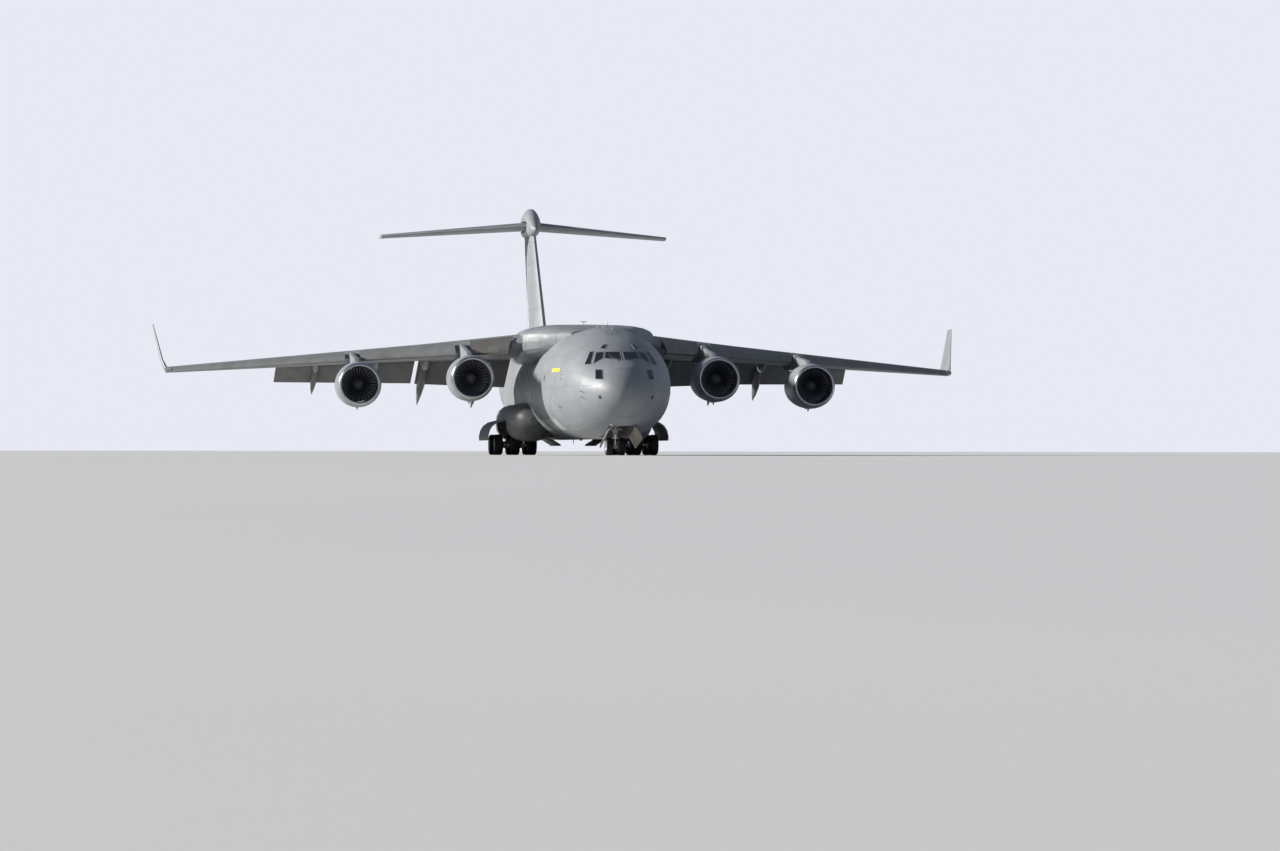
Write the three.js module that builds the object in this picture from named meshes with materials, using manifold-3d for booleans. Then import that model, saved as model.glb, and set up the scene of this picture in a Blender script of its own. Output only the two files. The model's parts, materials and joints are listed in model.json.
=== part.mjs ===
// Four-engined military transport aircraft with a high swept wing, T-tail and loading ramp.
// Written in full-size millimetres; the whole group is then reduced to the scale below.
// Frame: nose toward -Y, port side toward +X, +Z up, ground at z = 0, Y = 0 at mid length.
// Stations are distances aft of the nose tip.

import * as THREE from 'three';
import { mergeVertices } from 'three/addons/utils/BufferGeometryUtils.js';
import Module from 'manifold-3d';

const wasm = await Module();
wasm.setup();

// Overall sizes
const MODEL_SCALE = 1 / 2;
const LENGTH = 53040;
const NOSE_Y = -LENGTH / 2;
const GAP = 0.8;
const PIN_CLEARANCE = 0.6;

// Fuselage sizes
const RADOME_END = 1150;
const FORWARD_END = 9500;
const CENTRE_END = 31500;
const TAIL_END = 49000;
const SKIN = 150;
const CABIN_INNER_START = 1350;
const DECK_TOP = 3950;
const CARGO_FLOOR = 1630;
const CARGO_START = 8000;
const FLOOR_HALF = 2120;

// Wing sizes
const WING_ROOT_X = 3960;
const WING_KINK_X = 9800;
const FLAP_END_X = 18400;
const AILERON_END_X = 23700;
const SLAT_END_X = 24760;
const WING_TIP_X = 25100;
const WING_LE_AT_CENTRE = 15450;
const WING_LE_SLOPE = Math.tan(THREE.MathUtils.degToRad(27.5));
const WING_Z_AT_ROOT = 6780;
const WING_DROOP = 0.0705;
const SLAT_ANGLE = 22;
const RAIL_END_ANGLE = 88;
const FLAP_ANGLE = 40;
const FLAP_BARREL_RADIUS = 55;
const BARREL_SIDES = 16;
const RIB = 100;

// Engine sizes
const ENGINES = [
  { name: 'engine_1_port_outer', x: 13850, inlet: 16700, z: 4230 },
  { name: 'engine_2_port_inner', x: 7400, inlet: 13400, z: 4570 },
  { name: 'engine_3_starboard_inner', x: -7400, inlet: 13400, z: 4570 },
  { name: 'engine_4_starboard_outer', x: -13850, inlet: 16700, z: 4230 },
];
const FAN_STATION = 1250;
const FAN_RADIUS = 1035;

// Undercarriage sizes
const NOSE_AXLE_STATION = 5400;
const NOSE_TYRE_RADIUS = 508;
const NOSE_TYRE_WIDTH = 400;
const NOSE_WHEEL_X = 365;
const MAIN_AXLE_STATIONS = { front: 22900, rear: 25700 };
const MAIN_TYRE_RADIUS = 635;
const MAIN_TYRE_WIDTH = 530;
const MAIN_WHEEL_X = [4850, 3800, 2750];
const MAIN_LEG_X = 3275;
const NOSE_DOOR_ANGLE = 115;
const OUTER_DOOR_ANGLE = 82;
const INNER_DOOR_ANGLE = 143;
const AXLE_SIDES = 20;
const NOSE_AXLE_RADIUS = 62;
const MAIN_AXLE_RADIUS = 76;
const WHEEL_SIDES = 16;

// Colours
const PAINT = { color: 0x7f8589, roughness: 0.5, metalness: 0.1 };
const PAINT_DARK = { color: 0x6c7276, roughness: 0.55, metalness: 0.1 };
const RADOME_PAINT = { color: 0x767b7e, roughness: 0.6, metalness: 0.0 };
const BARE_METAL = { color: 0xa9abab, roughness: 0.3, metalness: 0.9 };
const DARK_METAL = { color: 0x3a3b3d, roughness: 0.45, metalness: 0.8 };
const LEG_PAINT = { color: 0xc9cac6, roughness: 0.45, metalness: 0.2 };
const TYRE_RUBBER = { color: 0x1d1d1e, roughness: 0.9, metalness: 0.0 };
const WINDOW_GLASS = { color: 0x16191c, roughness: 0.1, metalness: 0.1 };
const CABIN_GREY = { color: 0x4b4f52, roughness: 0.8, metalness: 0.0 };

// Frame helpers
const rad = THREE.MathUtils.degToRad;
const lerp = THREE.MathUtils.lerp;
const yAt = (station) => NOSE_Y + station;

function lookUp(table, key, value) {
  let i = 0;
  while (i < table.length - 2 && table[i + 1][key] <= value) {
    i += 1;
  }
  const a = table[i];
  const b = table[i + 1];
  const t = THREE.MathUtils.clamp((value - a[key]) / (b[key] - a[key]), 0, 1);
  const row = {};
  for (const name of Object.keys(a)) {
    row[name] = typeof a[name] === 'number' ? lerp(a[name], b[name], t) : a[name];
  }
  row[key] = value;
  return row;
}

// Solid helpers
function toSolid(geometry) {
  const bare = geometry.clone();
  bare.deleteAttribute('normal');
  bare.deleteAttribute('uv');
  const merged = mergeVertices(bare, 0.01);
  const mesh = new wasm.Mesh({
    numProp: 3,
    vertProperties: Float32Array.from(merged.attributes.position.array),
    triVerts: Uint32Array.from(merged.index.array),
  });
  return new wasm.Manifold(mesh);
}

function toGeometry(solid) {
  const mesh = solid.getMesh();
  const geometry = new THREE.BufferGeometry();
  const positions = new Float32Array(mesh.numVert * 3);
  for (let i = 0; i < mesh.numVert; i += 1) {
    for (let k = 0; k < 3; k += 1) {
      positions[3 * i + k] = mesh.vertProperties[mesh.numProp * i + k];
    }
  }
  geometry.setAttribute('position', new THREE.BufferAttribute(positions, 3));
  geometry.setIndex(new THREE.BufferAttribute(Uint32Array.from(mesh.triVerts), 1));
  return geometry;
}

function turnedOut(positions, index) {
  let volume = 0;
  const a = new THREE.Vector3();
  const b = new THREE.Vector3();
  const c = new THREE.Vector3();
  for (let i = 0; i < index.length; i += 3) {
    a.fromArray(positions, 3 * index[i]);
    b.fromArray(positions, 3 * index[i + 1]);
    c.fromArray(positions, 3 * index[i + 2]);
    volume += a.dot(b.cross(c));
  }
  if (volume >= 0) {
    return index;
  }
  const flipped = [];
  for (let i = 0; i < index.length; i += 3) {
    flipped.push(index[i], index[i + 2], index[i + 1]);
  }
  return flipped;
}

// Skin through rings of points, closed by a flat face at each end
function loft(rings) {
  const count = rings[0].length;
  const positions = [];
  for (const ring of rings) {
    for (const point of ring) {
      positions.push(point[0], point[1], point[2]);
    }
  }
  const index = [];
  for (let r = 0; r < rings.length - 1; r += 1) {
    for (let i = 0; i < count; i += 1) {
      const j = (i + 1) % count;
      const p = r * count;
      const q = p + count;
      index.push(p + i, p + j, q + j, p + i, q + j, q + i);
    }
  }
  const areaOn = (ring, u, v) => ring.reduce((sum, p, i) => {
    const q = ring[(i + 1) % ring.length];
    return sum + p[u] * q[v] - q[u] * p[v];
  }, 0);
  // Triangles over one end ring, turned with the ring or against it
  const cap = (ring, forward) => {
    const planes = [[0, 1], [1, 2], [0, 2]];
    const areas = planes.map(([u, v]) => Math.abs(areaOn(ring, u, v)));
    const [u, v] = planes[areas.indexOf(Math.max(...areas))];
    const faces = THREE.ShapeUtils.triangulateShape(ring.map((p) => new THREE.Vector2(p[u], p[v])), []);
    const turn = areaOn(faces[0].map((i) => ring[i]), u, v) * areaOn(ring, u, v);
    return faces.map(([a, b, c]) => ((turn > 0) === forward ? [a, b, c] : [a, c, b]));
  };
  const base = (rings.length - 1) * count;
  for (const [a, b, c] of cap(rings[0], false)) {
    index.push(a, b, c);
  }
  for (const [a, b, c] of cap(rings[rings.length - 1], true)) {
    index.push(base + a, base + b, base + c);
  }
  const geometry = new THREE.BufferGeometry();
  geometry.setAttribute('position', new THREE.BufferAttribute(new Float32Array(positions), 3));
  geometry.setIndex(turnedOut(positions, index));
  return toSolid(geometry);
}

function box(x0, x1, s0, s1, z0, z1) {
  const geometry = new THREE.BoxGeometry(Math.abs(x1 - x0), Math.abs(s1 - s0), Math.abs(z1 - z0));
  geometry.translate((x0 + x1) / 2, yAt((s0 + s1) / 2), (z0 + z1) / 2);
  return toSolid(geometry);
}

// Prism with its outline given as [x, z] pairs, running aft from one station to another
function prismAlongY(points, s0, s1) {
  const shape = new THREE.Shape(points.map(([x, z]) => new THREE.Vector2(x, z)));
  const geometry = new THREE.ExtrudeGeometry(shape, { depth: s1 - s0, bevelEnabled: false });
  geometry.rotateX(Math.PI / 2);
  geometry.translate(0, yAt(s1), 0);
  return toSolid(geometry);
}

// Prism with its outline given as [station, z] pairs, running across from x0 to x1
function prismAlongX(points, x0, x1) {
  const shape = new THREE.Shape(points.map(([s, z]) => new THREE.Vector2(yAt(s), z)));
  const geometry = new THREE.ExtrudeGeometry(shape, { depth: x1 - x0, bevelEnabled: false });
  geometry.rotateY(Math.PI / 2);
  geometry.rotateX(Math.PI / 2);
  geometry.translate(x0, 0, 0);
  return toSolid(geometry);
}

// Prism with its outline given as [x, station] pairs, running up from z0 to z1
function prismAlongZ(points, z0, z1) {
  const shape = new THREE.Shape(points.map(([x, s]) => new THREE.Vector2(x, yAt(s))));
  const geometry = new THREE.ExtrudeGeometry(shape, { depth: z1 - z0, bevelEnabled: false });
  geometry.translate(0, 0, z0);
  return toSolid(geometry);
}

function rod(start, end, radius, sides = 12) {
  const a = new THREE.Vector3(start[0], yAt(start[1]), start[2]);
  const b = new THREE.Vector3(end[0], yAt(end[1]), end[2]);
  const length = a.distanceTo(b);
  const geometry = new THREE.CylinderGeometry(radius, radius, length, sides);
  const along = b.clone().sub(a).normalize();
  geometry.applyQuaternion(new THREE.Quaternion().setFromUnitVectors(new THREE.Vector3(0, 1, 0), along));
  const middle = a.add(b).multiplyScalar(0.5);
  geometry.translate(middle.x, middle.y, middle.z);
  return toSolid(geometry);
}

// Rod between two points given as [x, y, z]
function rodBetween(a, b, radius, sides = 12) {
  return rod([a[0], a[1] - NOSE_Y, a[2]], [b[0], b[1] - NOSE_Y, b[2]], radius, sides);
}

// Turned body: profile pairs are [radius, distance], turned about an axis along X
function turnedAlongX(profile, centre, sides) {
  const geometry = new THREE.LatheGeometry(profile.map(([r, d]) => new THREE.Vector2(r, d)), sides);
  geometry.rotateZ(-Math.PI / 2);
  geometry.translate(centre[0], yAt(centre[1]), centre[2]);
  return toSolid(geometry);
}

// Turned body: profile pairs are [radius, distance aft], turned about an axis along Y
function turnedAlongY(profile, centre, sides) {
  const geometry = new THREE.LatheGeometry(profile.map(([r, d]) => new THREE.Vector2(r, d)), sides);
  geometry.translate(centre[0], yAt(centre[1]), centre[2]);
  return toSolid(geometry);
}

// Radius of the hole that a round pin of this radius turns in
const boreFor = (radius, sides = 12) => (radius + PIN_CLEARANCE) / Math.cos(Math.PI / sides);

function joined(solids) {
  return solids.reduce((sum, solid) => sum.add(solid));
}

function mirrored(solid) {
  return solid.mirror([1, 0, 0]);
}

// Fuselage outline: half width, top, height of the widest line, bottom and squareness below it
const HULL = [
  { station: 0, half: 60, top: 3460, wide: 3400, bottom: 3340, corner: 2 },
  { station: 150, half: 620, top: 4000, wide: 3420, bottom: 2840, corner: 2 },
  { station: 550, half: 1160, top: 4520, wide: 3480, bottom: 2420, corner: 2 },
  { station: 1150, half: 1660, top: 4980, wide: 3550, bottom: 2020, corner: 2.05 },
  { station: 1950, half: 2140, top: 5360, wide: 3650, bottom: 1680, corner: 2.1 },
  { station: 2600, half: 2450, top: 5720, wide: 3750, bottom: 1480, corner: 2.15 },
  { station: 3300, half: 2720, top: 6140, wide: 3850, bottom: 1320, corner: 2.2 },
  { station: 4000, half: 2930, top: 6500, wide: 3930, bottom: 1200, corner: 2.25 },
  { station: 5000, half: 3150, top: 6860, wide: 4000, bottom: 1090, corner: 2.3 },
  { station: 6500, half: 3340, top: 7220, wide: 4050, bottom: 1000, corner: 2.35 },
  { station: 8000, half: 3420, top: 7420, wide: 4070, bottom: 960, corner: 2.4 },
  { station: 9500, half: 3430, top: 7500, wide: 4070, bottom: 950, corner: 2.4 },
  { station: 31500, half: 3430, top: 7500, wide: 4070, bottom: 950, corner: 2.4 },
  { station: 34000, half: 3400, top: 7500, wide: 4250, bottom: 1480, corner: 2.5 },
  { station: 37600, half: 3200, top: 7490, wide: 4650, bottom: 2400, corner: 2.6 },
  { station: 41000, half: 2760, top: 7440, wide: 5130, bottom: 3320, corner: 2.6 },
  { station: 44500, half: 2060, top: 7320, wide: 5640, bottom: 4290, corner: 2.5 },
  { station: 47500, half: 1150, top: 7060, wide: 6020, bottom: 5200, corner: 2.3 },
  { station: 49000, half: 360, top: 6760, wide: 6300, bottom: 5860, corner: 2 },
];
const HULL_POINTS = 32;

function hullRing(station, inset) {
  const row = lookUp(HULL, 'station', station);
  const ring = [];
  for (let i = 0; i < HULL_POINTS; i += 1) {
    const angle = (2 * Math.PI * i) / HULL_POINTS;
    const c = Math.cos(angle);
    const s = Math.sin(angle);
    const power = s >= 0 ? 1 : 2 / row.corner;
    const height = s >= 0 ? row.top - row.wide : row.wide - row.bottom;
    const x = Math.sign(c) * Math.abs(c) ** power * Math.max(row.half - inset, 20);
    const z = row.wide + Math.sign(s) * Math.abs(s) ** power * Math.max(height - inset, 20);
    ring.push([x, yAt(station), z]);
  }
  return ring;
}

function hullBody(s0, s1, inset) {
  const stations = HULL.map((row) => row.station).filter((s) => s > s0 + 5 && s < s1 - 5);
  return loft([s0, ...stations, s1].map((s) => hullRing(s, inset)));
}

// Cockpit windows, seen from the front as [x, z] outlines on the port side
const COCKPIT_WINDOWS = [
  [[80, 5420], [1020, 5500], [880, 5880], [80, 5880]],
  [[1100, 5500], [1640, 5200], [1380, 5860], [960, 5880]],
  [[1790, 5170], [2080, 5160], [1690, 5900], [1490, 5920]],
  [[860, 6050], [1110, 6090], [900, 6310], [710, 6320]],
];
const CHIN_WINDOW = [[1310, 4280], [1680, 4300], [1600, 4860], [1250, 4850]];
const WINDOWS_END = 4300;
const CREW_DOOR = { s0: 6450, s1: 7350, z0: 1850, z1: 3650, x: 2590 };
const NOSE_WELL = { half: 780, s0: 2000, s1: 6400, top: 2850 };
const RAMP = { s0: 31560, s1: 37560, half: 2250 };
const CARGO_DOOR = { s0: 37620, s1: 43200, halfFront: 2000, halfRear: 1150 };

function windowPrisms(shrink) {
  const prisms = [];
  for (const outline of [...COCKPIT_WINDOWS, CHIN_WINDOW]) {
    const cx = outline.reduce((sum, p) => sum + p[0], 0) / outline.length;
    const cz = outline.reduce((sum, p) => sum + p[1], 0) / outline.length;
    const points = outline.map(([x, z]) => {
      const d = Math.hypot(x - cx, z - cz);
      const k = (d - shrink) / d;
      return [cx + (x - cx) * k, cz + (z - cz) * k];
    });
    const prism = prismAlongY(points, 300, WINDOWS_END);
    prisms.push(prism, mirrored(prism));
  }
  return joined(prisms);
}

// Wing section: [chord fraction, height fraction] from the front lower edge over the top
const SECTION_TOP = [
  [0.0, 0.0], [0.01, 0.018], [0.04, 0.036], [0.1, 0.055], [0.2, 0.068], [0.35, 0.074],
  [0.5, 0.068], [0.65, 0.053], [0.745, 0.04], [0.8, 0.031], [0.9, 0.016], [1.0, 0.003],
];
const SECTION_BOTTOM = [
  [0.01, -0.014], [0.04, -0.028], [0.1, -0.042], [0.2, -0.055], [0.35, -0.062],
  [0.5, -0.056], [0.65, -0.037], [0.745, -0.024], [0.8, -0.018], [0.9, -0.008], [1.0, -0.001],
];
const SECTION_BASE = 0.136;

// Wing planform by distance from the centreline
const WING_PLAN = [
  { x: 0, chord: 11200, thick: 0.15, twist: 3.6 },
  { x: 9800, chord: 7600, thick: 0.125, twist: 2.5 },
  { x: 25100, chord: 3550, thick: 0.105, twist: 0 },
];

function heightOn(points, c) {
  for (let i = 0; i < points.length - 1; i += 1) {
    if (c <= points[i + 1][0]) {
      const t = (c - points[i][0]) / (points[i + 1][0] - points[i][0]);
      return lerp(points[i][1], points[i + 1][1], Math.max(t, 0));
    }
  }
  return points[points.length - 1][1];
}

// Places [chord fraction, height fraction, extra height mm] on the wing at a distance x
function wingPoint(x, c, h, extra = 0) {
  const row = lookUp(WING_PLAN, 'x', x);
  const along = c * row.chord;
  const up = (h * row.thick / SECTION_BASE) * row.chord + extra;
  const twist = rad(row.twist);
  const le = WING_LE_AT_CENTRE + x * WING_LE_SLOPE;
  const station = le + along * Math.cos(twist) + up * Math.sin(twist);
  const z = WING_Z_AT_ROOT - (x - WING_ROOT_X) * WING_DROOP + up * Math.cos(twist) - along * Math.sin(twist);
  return [x, yAt(station), z];
}

const topH = (c) => heightOn(SECTION_TOP, c);
const bottomH = (c) => heightOn([[0, 0], ...SECTION_BOTTOM], c);

// Whole wing outline, and the bays cut out of it for slats, flaps and ailerons
function wingOutline() {
  return [
    ...SECTION_TOP.map(([c, h]) => [c, h, 0]),
    ...[...SECTION_BOTTOM].reverse().map(([c, h]) => [c, h, 0]),
  ];
}
const SLAT_BAY = [
  [-0.02, -0.08, 0], [0.036, -0.08, 0], [0.036, 0.018, 0],
  [0.075, 0.04, 0], [0.14, 0.063, 0], [-0.02, 0.12, 0],
];
const FLAP_BAY = [
  [0.7, -0.1, 0], [1.08, -0.1, 0], [1.08, 0.12, 0], [0.761, 0.12, 0],
  [0.76, topH(0.76), -25], [0.7, topH(0.7), -70],
];
const AILERON_BAY = [[0.755, -0.1, 0], [1.08, -0.1, 0], [1.08, 0.12, 0], [0.755, 0.12, 0]];

function wingRings(outline, stationsX) {
  return stationsX.map((x) => outline.map(([c, h, e]) => wingPoint(x, c, h, e)));
}

// Moves a flat band of the wing about a line: axis through two points, by an angle
function turnAbout(solid, a, b, degrees) {
  const axis = new THREE.Vector3(...b).sub(new THREE.Vector3(...a)).normalize();
  const m = new THREE.Matrix4().makeTranslation(...a)
    .multiply(new THREE.Matrix4().makeRotationAxis(axis, rad(degrees)))
    .multiply(new THREE.Matrix4().makeTranslation(-a[0], -a[1], -a[2]));
  return solid.transform(m.elements);
}

// Flap section at rest: round front, flat under the shroud, wing surfaces behind it
function flapOutline() {
  return [
    [0.706, -0.006, 0], [0.708, 0.014, -20], [0.722, topH(0.722), -120], [0.76, topH(0.76), -62],
    [0.772, topH(0.772), -12], [0.86, topH(0.86), 0], [1, 0.003, 0], [1, -0.001, 0],
    [0.9, -0.008, 0], [0.8, -0.018, 0], [0.73, bottomH(0.73), 0], [0.712, bottomH(0.712) + 0.004, 0],
  ];
}

function flapHinge(x) {
  const row = lookUp(WING_PLAN, 'x', x);
  const r = 0.11 * row.chord;
  const nose = wingPoint(x, 0.706, 0.005);
  return [x, nose[1] - 0.03 * r, nose[2] - r];
}

// Point on the straight line that a flap turns about
function flapAxisAt(flap, x) {
  const a = flapHinge(flap.x0);
  const b = flapHinge(flap.x1);
  const t = (x - flap.x0) / (flap.x1 - flap.x0);
  return a.map((value, i) => lerp(value, b[i], t));
}

// Long pointed fairings below the wing: the front part is fixed, the rear part drops with the flap
function canoe(flap, x, width, sections) {
  return loft(sections.map((part) => {
    const ring = [];
    for (let i = 0; i < 10; i += 1) {
      const a = (2 * Math.PI * i) / 10;
      const hinge = flapAxisAt(flap, x + Math.cos(a) * width * part.w / 2);
      ring.push([hinge[0], hinge[1] + part.d, hinge[2] + part.z + Math.sin(a) * part.h]);
    }
    return ring;
  }));
}

// Round barrel about the flap hinge line inside a fairing
function flapBarrel(flap, x, width, radius) {
  const a = flapAxisAt(flap, x - width * 0.3);
  const b = flapAxisAt(flap, x + width * 0.3);
  return rodBetween(a, b, radius, BARREL_SIDES);
}

function movingFairing(flap, { x, width, tail }) {
  const k = lookUp(WING_PLAN, 'x', x).chord / 8000;
  return canoe(flap, x, width, [
    { d: 0, z: 0, w: 0.4, h: 40 },
    { d: 350 * k, z: 330 * k, w: 0.9, h: 470 * k },
    { d: tail * 0.45, z: tail * 0.09, w: 1, h: 440 * k },
    { d: tail * 0.75, z: tail * 0.11, w: 0.6, h: 250 * k },
    { d: tail * 0.99, z: tail * 0.134, w: 0.08, h: 30 * k },
  ]).add(flapBarrel(flap, x, width, FLAP_BARREL_RADIUS));
}

function fixedFairing(flap, { x, width }) {
  const k = lookUp(WING_PLAN, 'x', x).chord / 8000;
  return canoe(flap, x, width, [
    { d: -2600 * k, z: 620 * k, w: 0.1, h: 60 * k },
    { d: -1800 * k, z: 420 * k, w: 0.75, h: 330 * k },
    { d: -900 * k, z: 330 * k, w: 1, h: 430 * k },
    { d: -330 * k, z: 380 * k, w: 0.9, h: 420 * k },
    { d: -230 * k, z: 370 * k, w: 0.8, h: 350 * k },
    { d: 10, z: 0, w: 0.6, h: 50 },
  ]).subtract(flapBarrel(flap, x, width + 200, boreFor(FLAP_BARREL_RADIUS, BARREL_SIDES)));
}

// Slat section drawn where it is stowed on the front of the wing
const SLAT_OUTLINE = [
  [0.125, 0.061], [0.07, 0.05], [0.03, 0.034], [0.006, 0.015], [-0.002, 0.0], [0.004, -0.014],
  [0.022, -0.024], [0.03, -0.022], [0.026, -0.008], [0.03, 0.018], [0.06, 0.04], [0.09, 0.0495],
];

const SLATS = [
  { name: 'slat_inner', x0: 4060, x1: 6980, rails: [0.38, 0.85] },
  { name: 'slat_middle', x0: 7880, x1: 13430, rails: [0.15, 0.85] },
  { name: 'slat_outer', x0: 14330, x1: 24700, rails: [0.12, 0.88] },
];
const SLAT_ROOT_X = 4030;
const RAIL_WIDTH = 90;
const RAIL_ROOM = 0.0045;
const SLAT_AXIS = [0.1125, -0.1835];
const slatAxisAt = (x) => wingPoint(x, SLAT_AXIS[0], SLAT_AXIS[1]);

// Moves a slat section point from its stowed place to its lowered place
function slatPoint(x, c, h) {
  const a = rad(SLAT_ANGLE);
  const along = 0.02 + (c - 0.02) * Math.cos(a) - h * Math.sin(a) - 0.062;
  const up = (c - 0.02) * Math.sin(a) + h * Math.cos(a) - 0.048;
  return wingPoint(x, along, up);
}

// Curved rail that carries a slat: an arc about the turning line, with a head inside the slat
function slatRail(slat, at, extra) {
  const a = new THREE.Vector3(...slatAxisAt(slat.x0));
  const b = new THREE.Vector3(...slatAxisAt(slat.x1));
  const x = lerp(slat.x0, slat.x1, at);
  const chord = lookUp(WING_PLAN, 'x', x).chord;
  const axis = b.clone().sub(a).normalize();
  const centre = a.clone().lerp(b, at);
  const up = new THREE.Vector3(0, 0, 1).addScaledVector(axis, -axis.z).normalize();
  const ahead = new THREE.Vector3().crossVectors(up, axis);
  if (ahead.y > 0) {
    ahead.negate();
  }
  const flat = (point) => {
    const v = new THREE.Vector3(...point).sub(centre);
    return [v.dot(ahead), v.dot(up)];
  };
  const radius = Math.hypot(...flat(wingPoint(x, 0.036, -0.003)));
  const half = 0.0055 * chord + (extra > 0 ? RAIL_ROOM * chord : 0);
  const top = flat(slatPoint(x, 0.012, 0.012));
  const low = flat(slatPoint(x, 0.012, -0.018));
  const headEnd = Math.atan2(top[1], top[0]) + rad(4.5);
  const from = extra > 0 ? headEnd + rad(12) : headEnd;
  const to = rad(extra > 0 ? RAIL_END_ANGLE + 21 : RAIL_END_ANGLE);
  const steps = 3;
  const arc = (r) => Array.from({ length: steps + 1 }, (_, i) => {
    const angle = lerp(from, to, i / steps);
    return [r * Math.cos(angle), r * Math.sin(angle)];
  });
  const outline = [...arc(radius - half), ...arc(radius + half).reverse()];
  if (extra === 0) {
    outline.push(top, low);
  }
  const width = RAIL_WIDTH + 2 * extra;
  const shape = new THREE.Shape(outline.map((p) => new THREE.Vector2(...p)));
  const geometry = new THREE.ExtrudeGeometry(shape, { depth: width, bevelEnabled: false });
  geometry.translate(0, 0, -width / 2);
  const side = new THREE.Vector3().crossVectors(ahead, up);
  geometry.applyMatrix4(new THREE.Matrix4().makeBasis(ahead, up, side));
  geometry.translate(centre.x, centre.y, centre.z);
  return toSolid(geometry);
}

// Space on the fuselage side of the plane square to the turning line of the inner slat
function besideRoot(extra) {
  const a = new THREE.Vector3(...slatAxisAt(SLATS[0].x0));
  const axis = new THREE.Vector3(...slatAxisAt(SLATS[0].x1)).sub(a).normalize();
  const corner = new THREE.Vector3(...wingPoint(SLAT_ROOT_X, 0.14, 0.06)).addScaledVector(axis, extra);
  const block = new THREE.BoxGeometry(6000, 12000, 12000);
  block.translate(-3000, 0, 0);
  const side = new THREE.Vector3(0, 0, 1).cross(axis).normalize();
  const up = new THREE.Vector3().crossVectors(axis, side);
  block.applyMatrix4(new THREE.Matrix4().makeBasis(axis, side, up));
  block.translate(corner.x, corner.y, corner.z);
  return toSolid(block);
}

function slatSolid(slat) {
  const span = loft([slat.x0, slat.x1].map((x) => SLAT_OUTLINE.map(([c, h]) => slatPoint(x, c, h))));
  return joined([span, ...slat.rails.map((at) => slatRail(slat, at, 0))]);
}

// Scene group
const aircraft = new THREE.Group();
aircraft.scale.setScalar(MODEL_SCALE);

function add(name, solid, look) {
  const mesh = new THREE.Mesh(toGeometry(solid), new THREE.MeshStandardMaterial(look));
  mesh.name = name;
  aircraft.add(mesh);
}

// Hold and flight deck space
const holdRing = (station) => {
  const row = lookUp(HULL, 'station', station);
  const top = Math.min(5900, row.top - 400);
  const w = 2750;
  const y = yAt(station);
  return [
    [FLOOR_HALF, y, CARGO_FLOOR], [w, y, 2450], [w, y, 4300], [w * 0.8, y, 5400],
    [w * 0.45, y, top], [-w * 0.45, y, top], [-w * 0.8, y, 5400],
    [-w, y, 4300], [-w, y, 2450], [-FLOOR_HALF, y, CARGO_FLOOR],
  ];
};
const hold = loft([holdRing(CARGO_START), holdRing(CENTRE_END + 40)]);

// Nose
add('radome', hullBody(0, RADOME_END - GAP, 0), RADOME_PAINT);

const cabinInner = hullBody(CABIN_INNER_START, CARGO_START, SKIN);
const cabin = cabinInner.intersect(box(-4000, 4000, 0, 8010, DECK_TOP - 100, 9000));
const entry = cabinInner.intersect(box(500, 4000, 6200, 8010, CARGO_FLOOR, DECK_TOP - 250));
const crewHinge = (radius, end) => rod(
  [CREW_DOOR.x, CREW_DOOR.s0 + 20 - end, CREW_DOOR.z0],
  [CREW_DOOR.x, CREW_DOOR.s1 - 20 + end, CREW_DOOR.z0],
  radius,
);
const crewDoorCut = box(2000, 4200, CREW_DOOR.s0, CREW_DOOR.s1, CREW_DOOR.z0, CREW_DOOR.z1)
  .add(crewHinge(boreFor(25), 8));
const noseDoorHinge = (s) => [NOSE_WELL.half - 15, yAt(s), lerp(1685, 1109, (s - 2000) / 2500)];
const noseDoorPin = (radius, end) => rodBetween(noseDoorHinge(3000 - end), noseDoorHinge(3500 + end), radius);
const noseWell = box(-NOSE_WELL.half, NOSE_WELL.half, NOSE_WELL.s0, NOSE_WELL.s1, 0, NOSE_WELL.top);
const forward = hullBody(RADOME_END, FORWARD_END - GAP, 0)
  .subtract(cabin)
  .subtract(entry)
  .subtract(hold)
  .subtract(windowPrisms(0))
  .subtract(crewDoorCut)
  .subtract(noseWell)
  .subtract(noseDoorPin(boreFor(40), 10))
  .subtract(mirrored(noseDoorPin(boreFor(40), 10)));
add('forward_fuselage', forward, PAINT);

const glassBand = hullBody(RADOME_END + 100, WINDOWS_END + 60, SKIN + 4)
  .subtract(hullBody(RADOME_END, WINDOWS_END + 100, SKIN + 34))
  .intersect(box(-2400, 2400, CABIN_INNER_START + 10, WINDOWS_END + 30, 4150, 6600));
const glassPlugs = hullBody(RADOME_END, WINDOWS_END, 20)
  .subtract(hullBody(RADOME_END - 100, WINDOWS_END + 100, SKIN + 30))
  .intersect(windowPrisms(4));
add('windshield_glass', glassBand.add(glassPlugs), WINDOW_GLASS);

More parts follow.
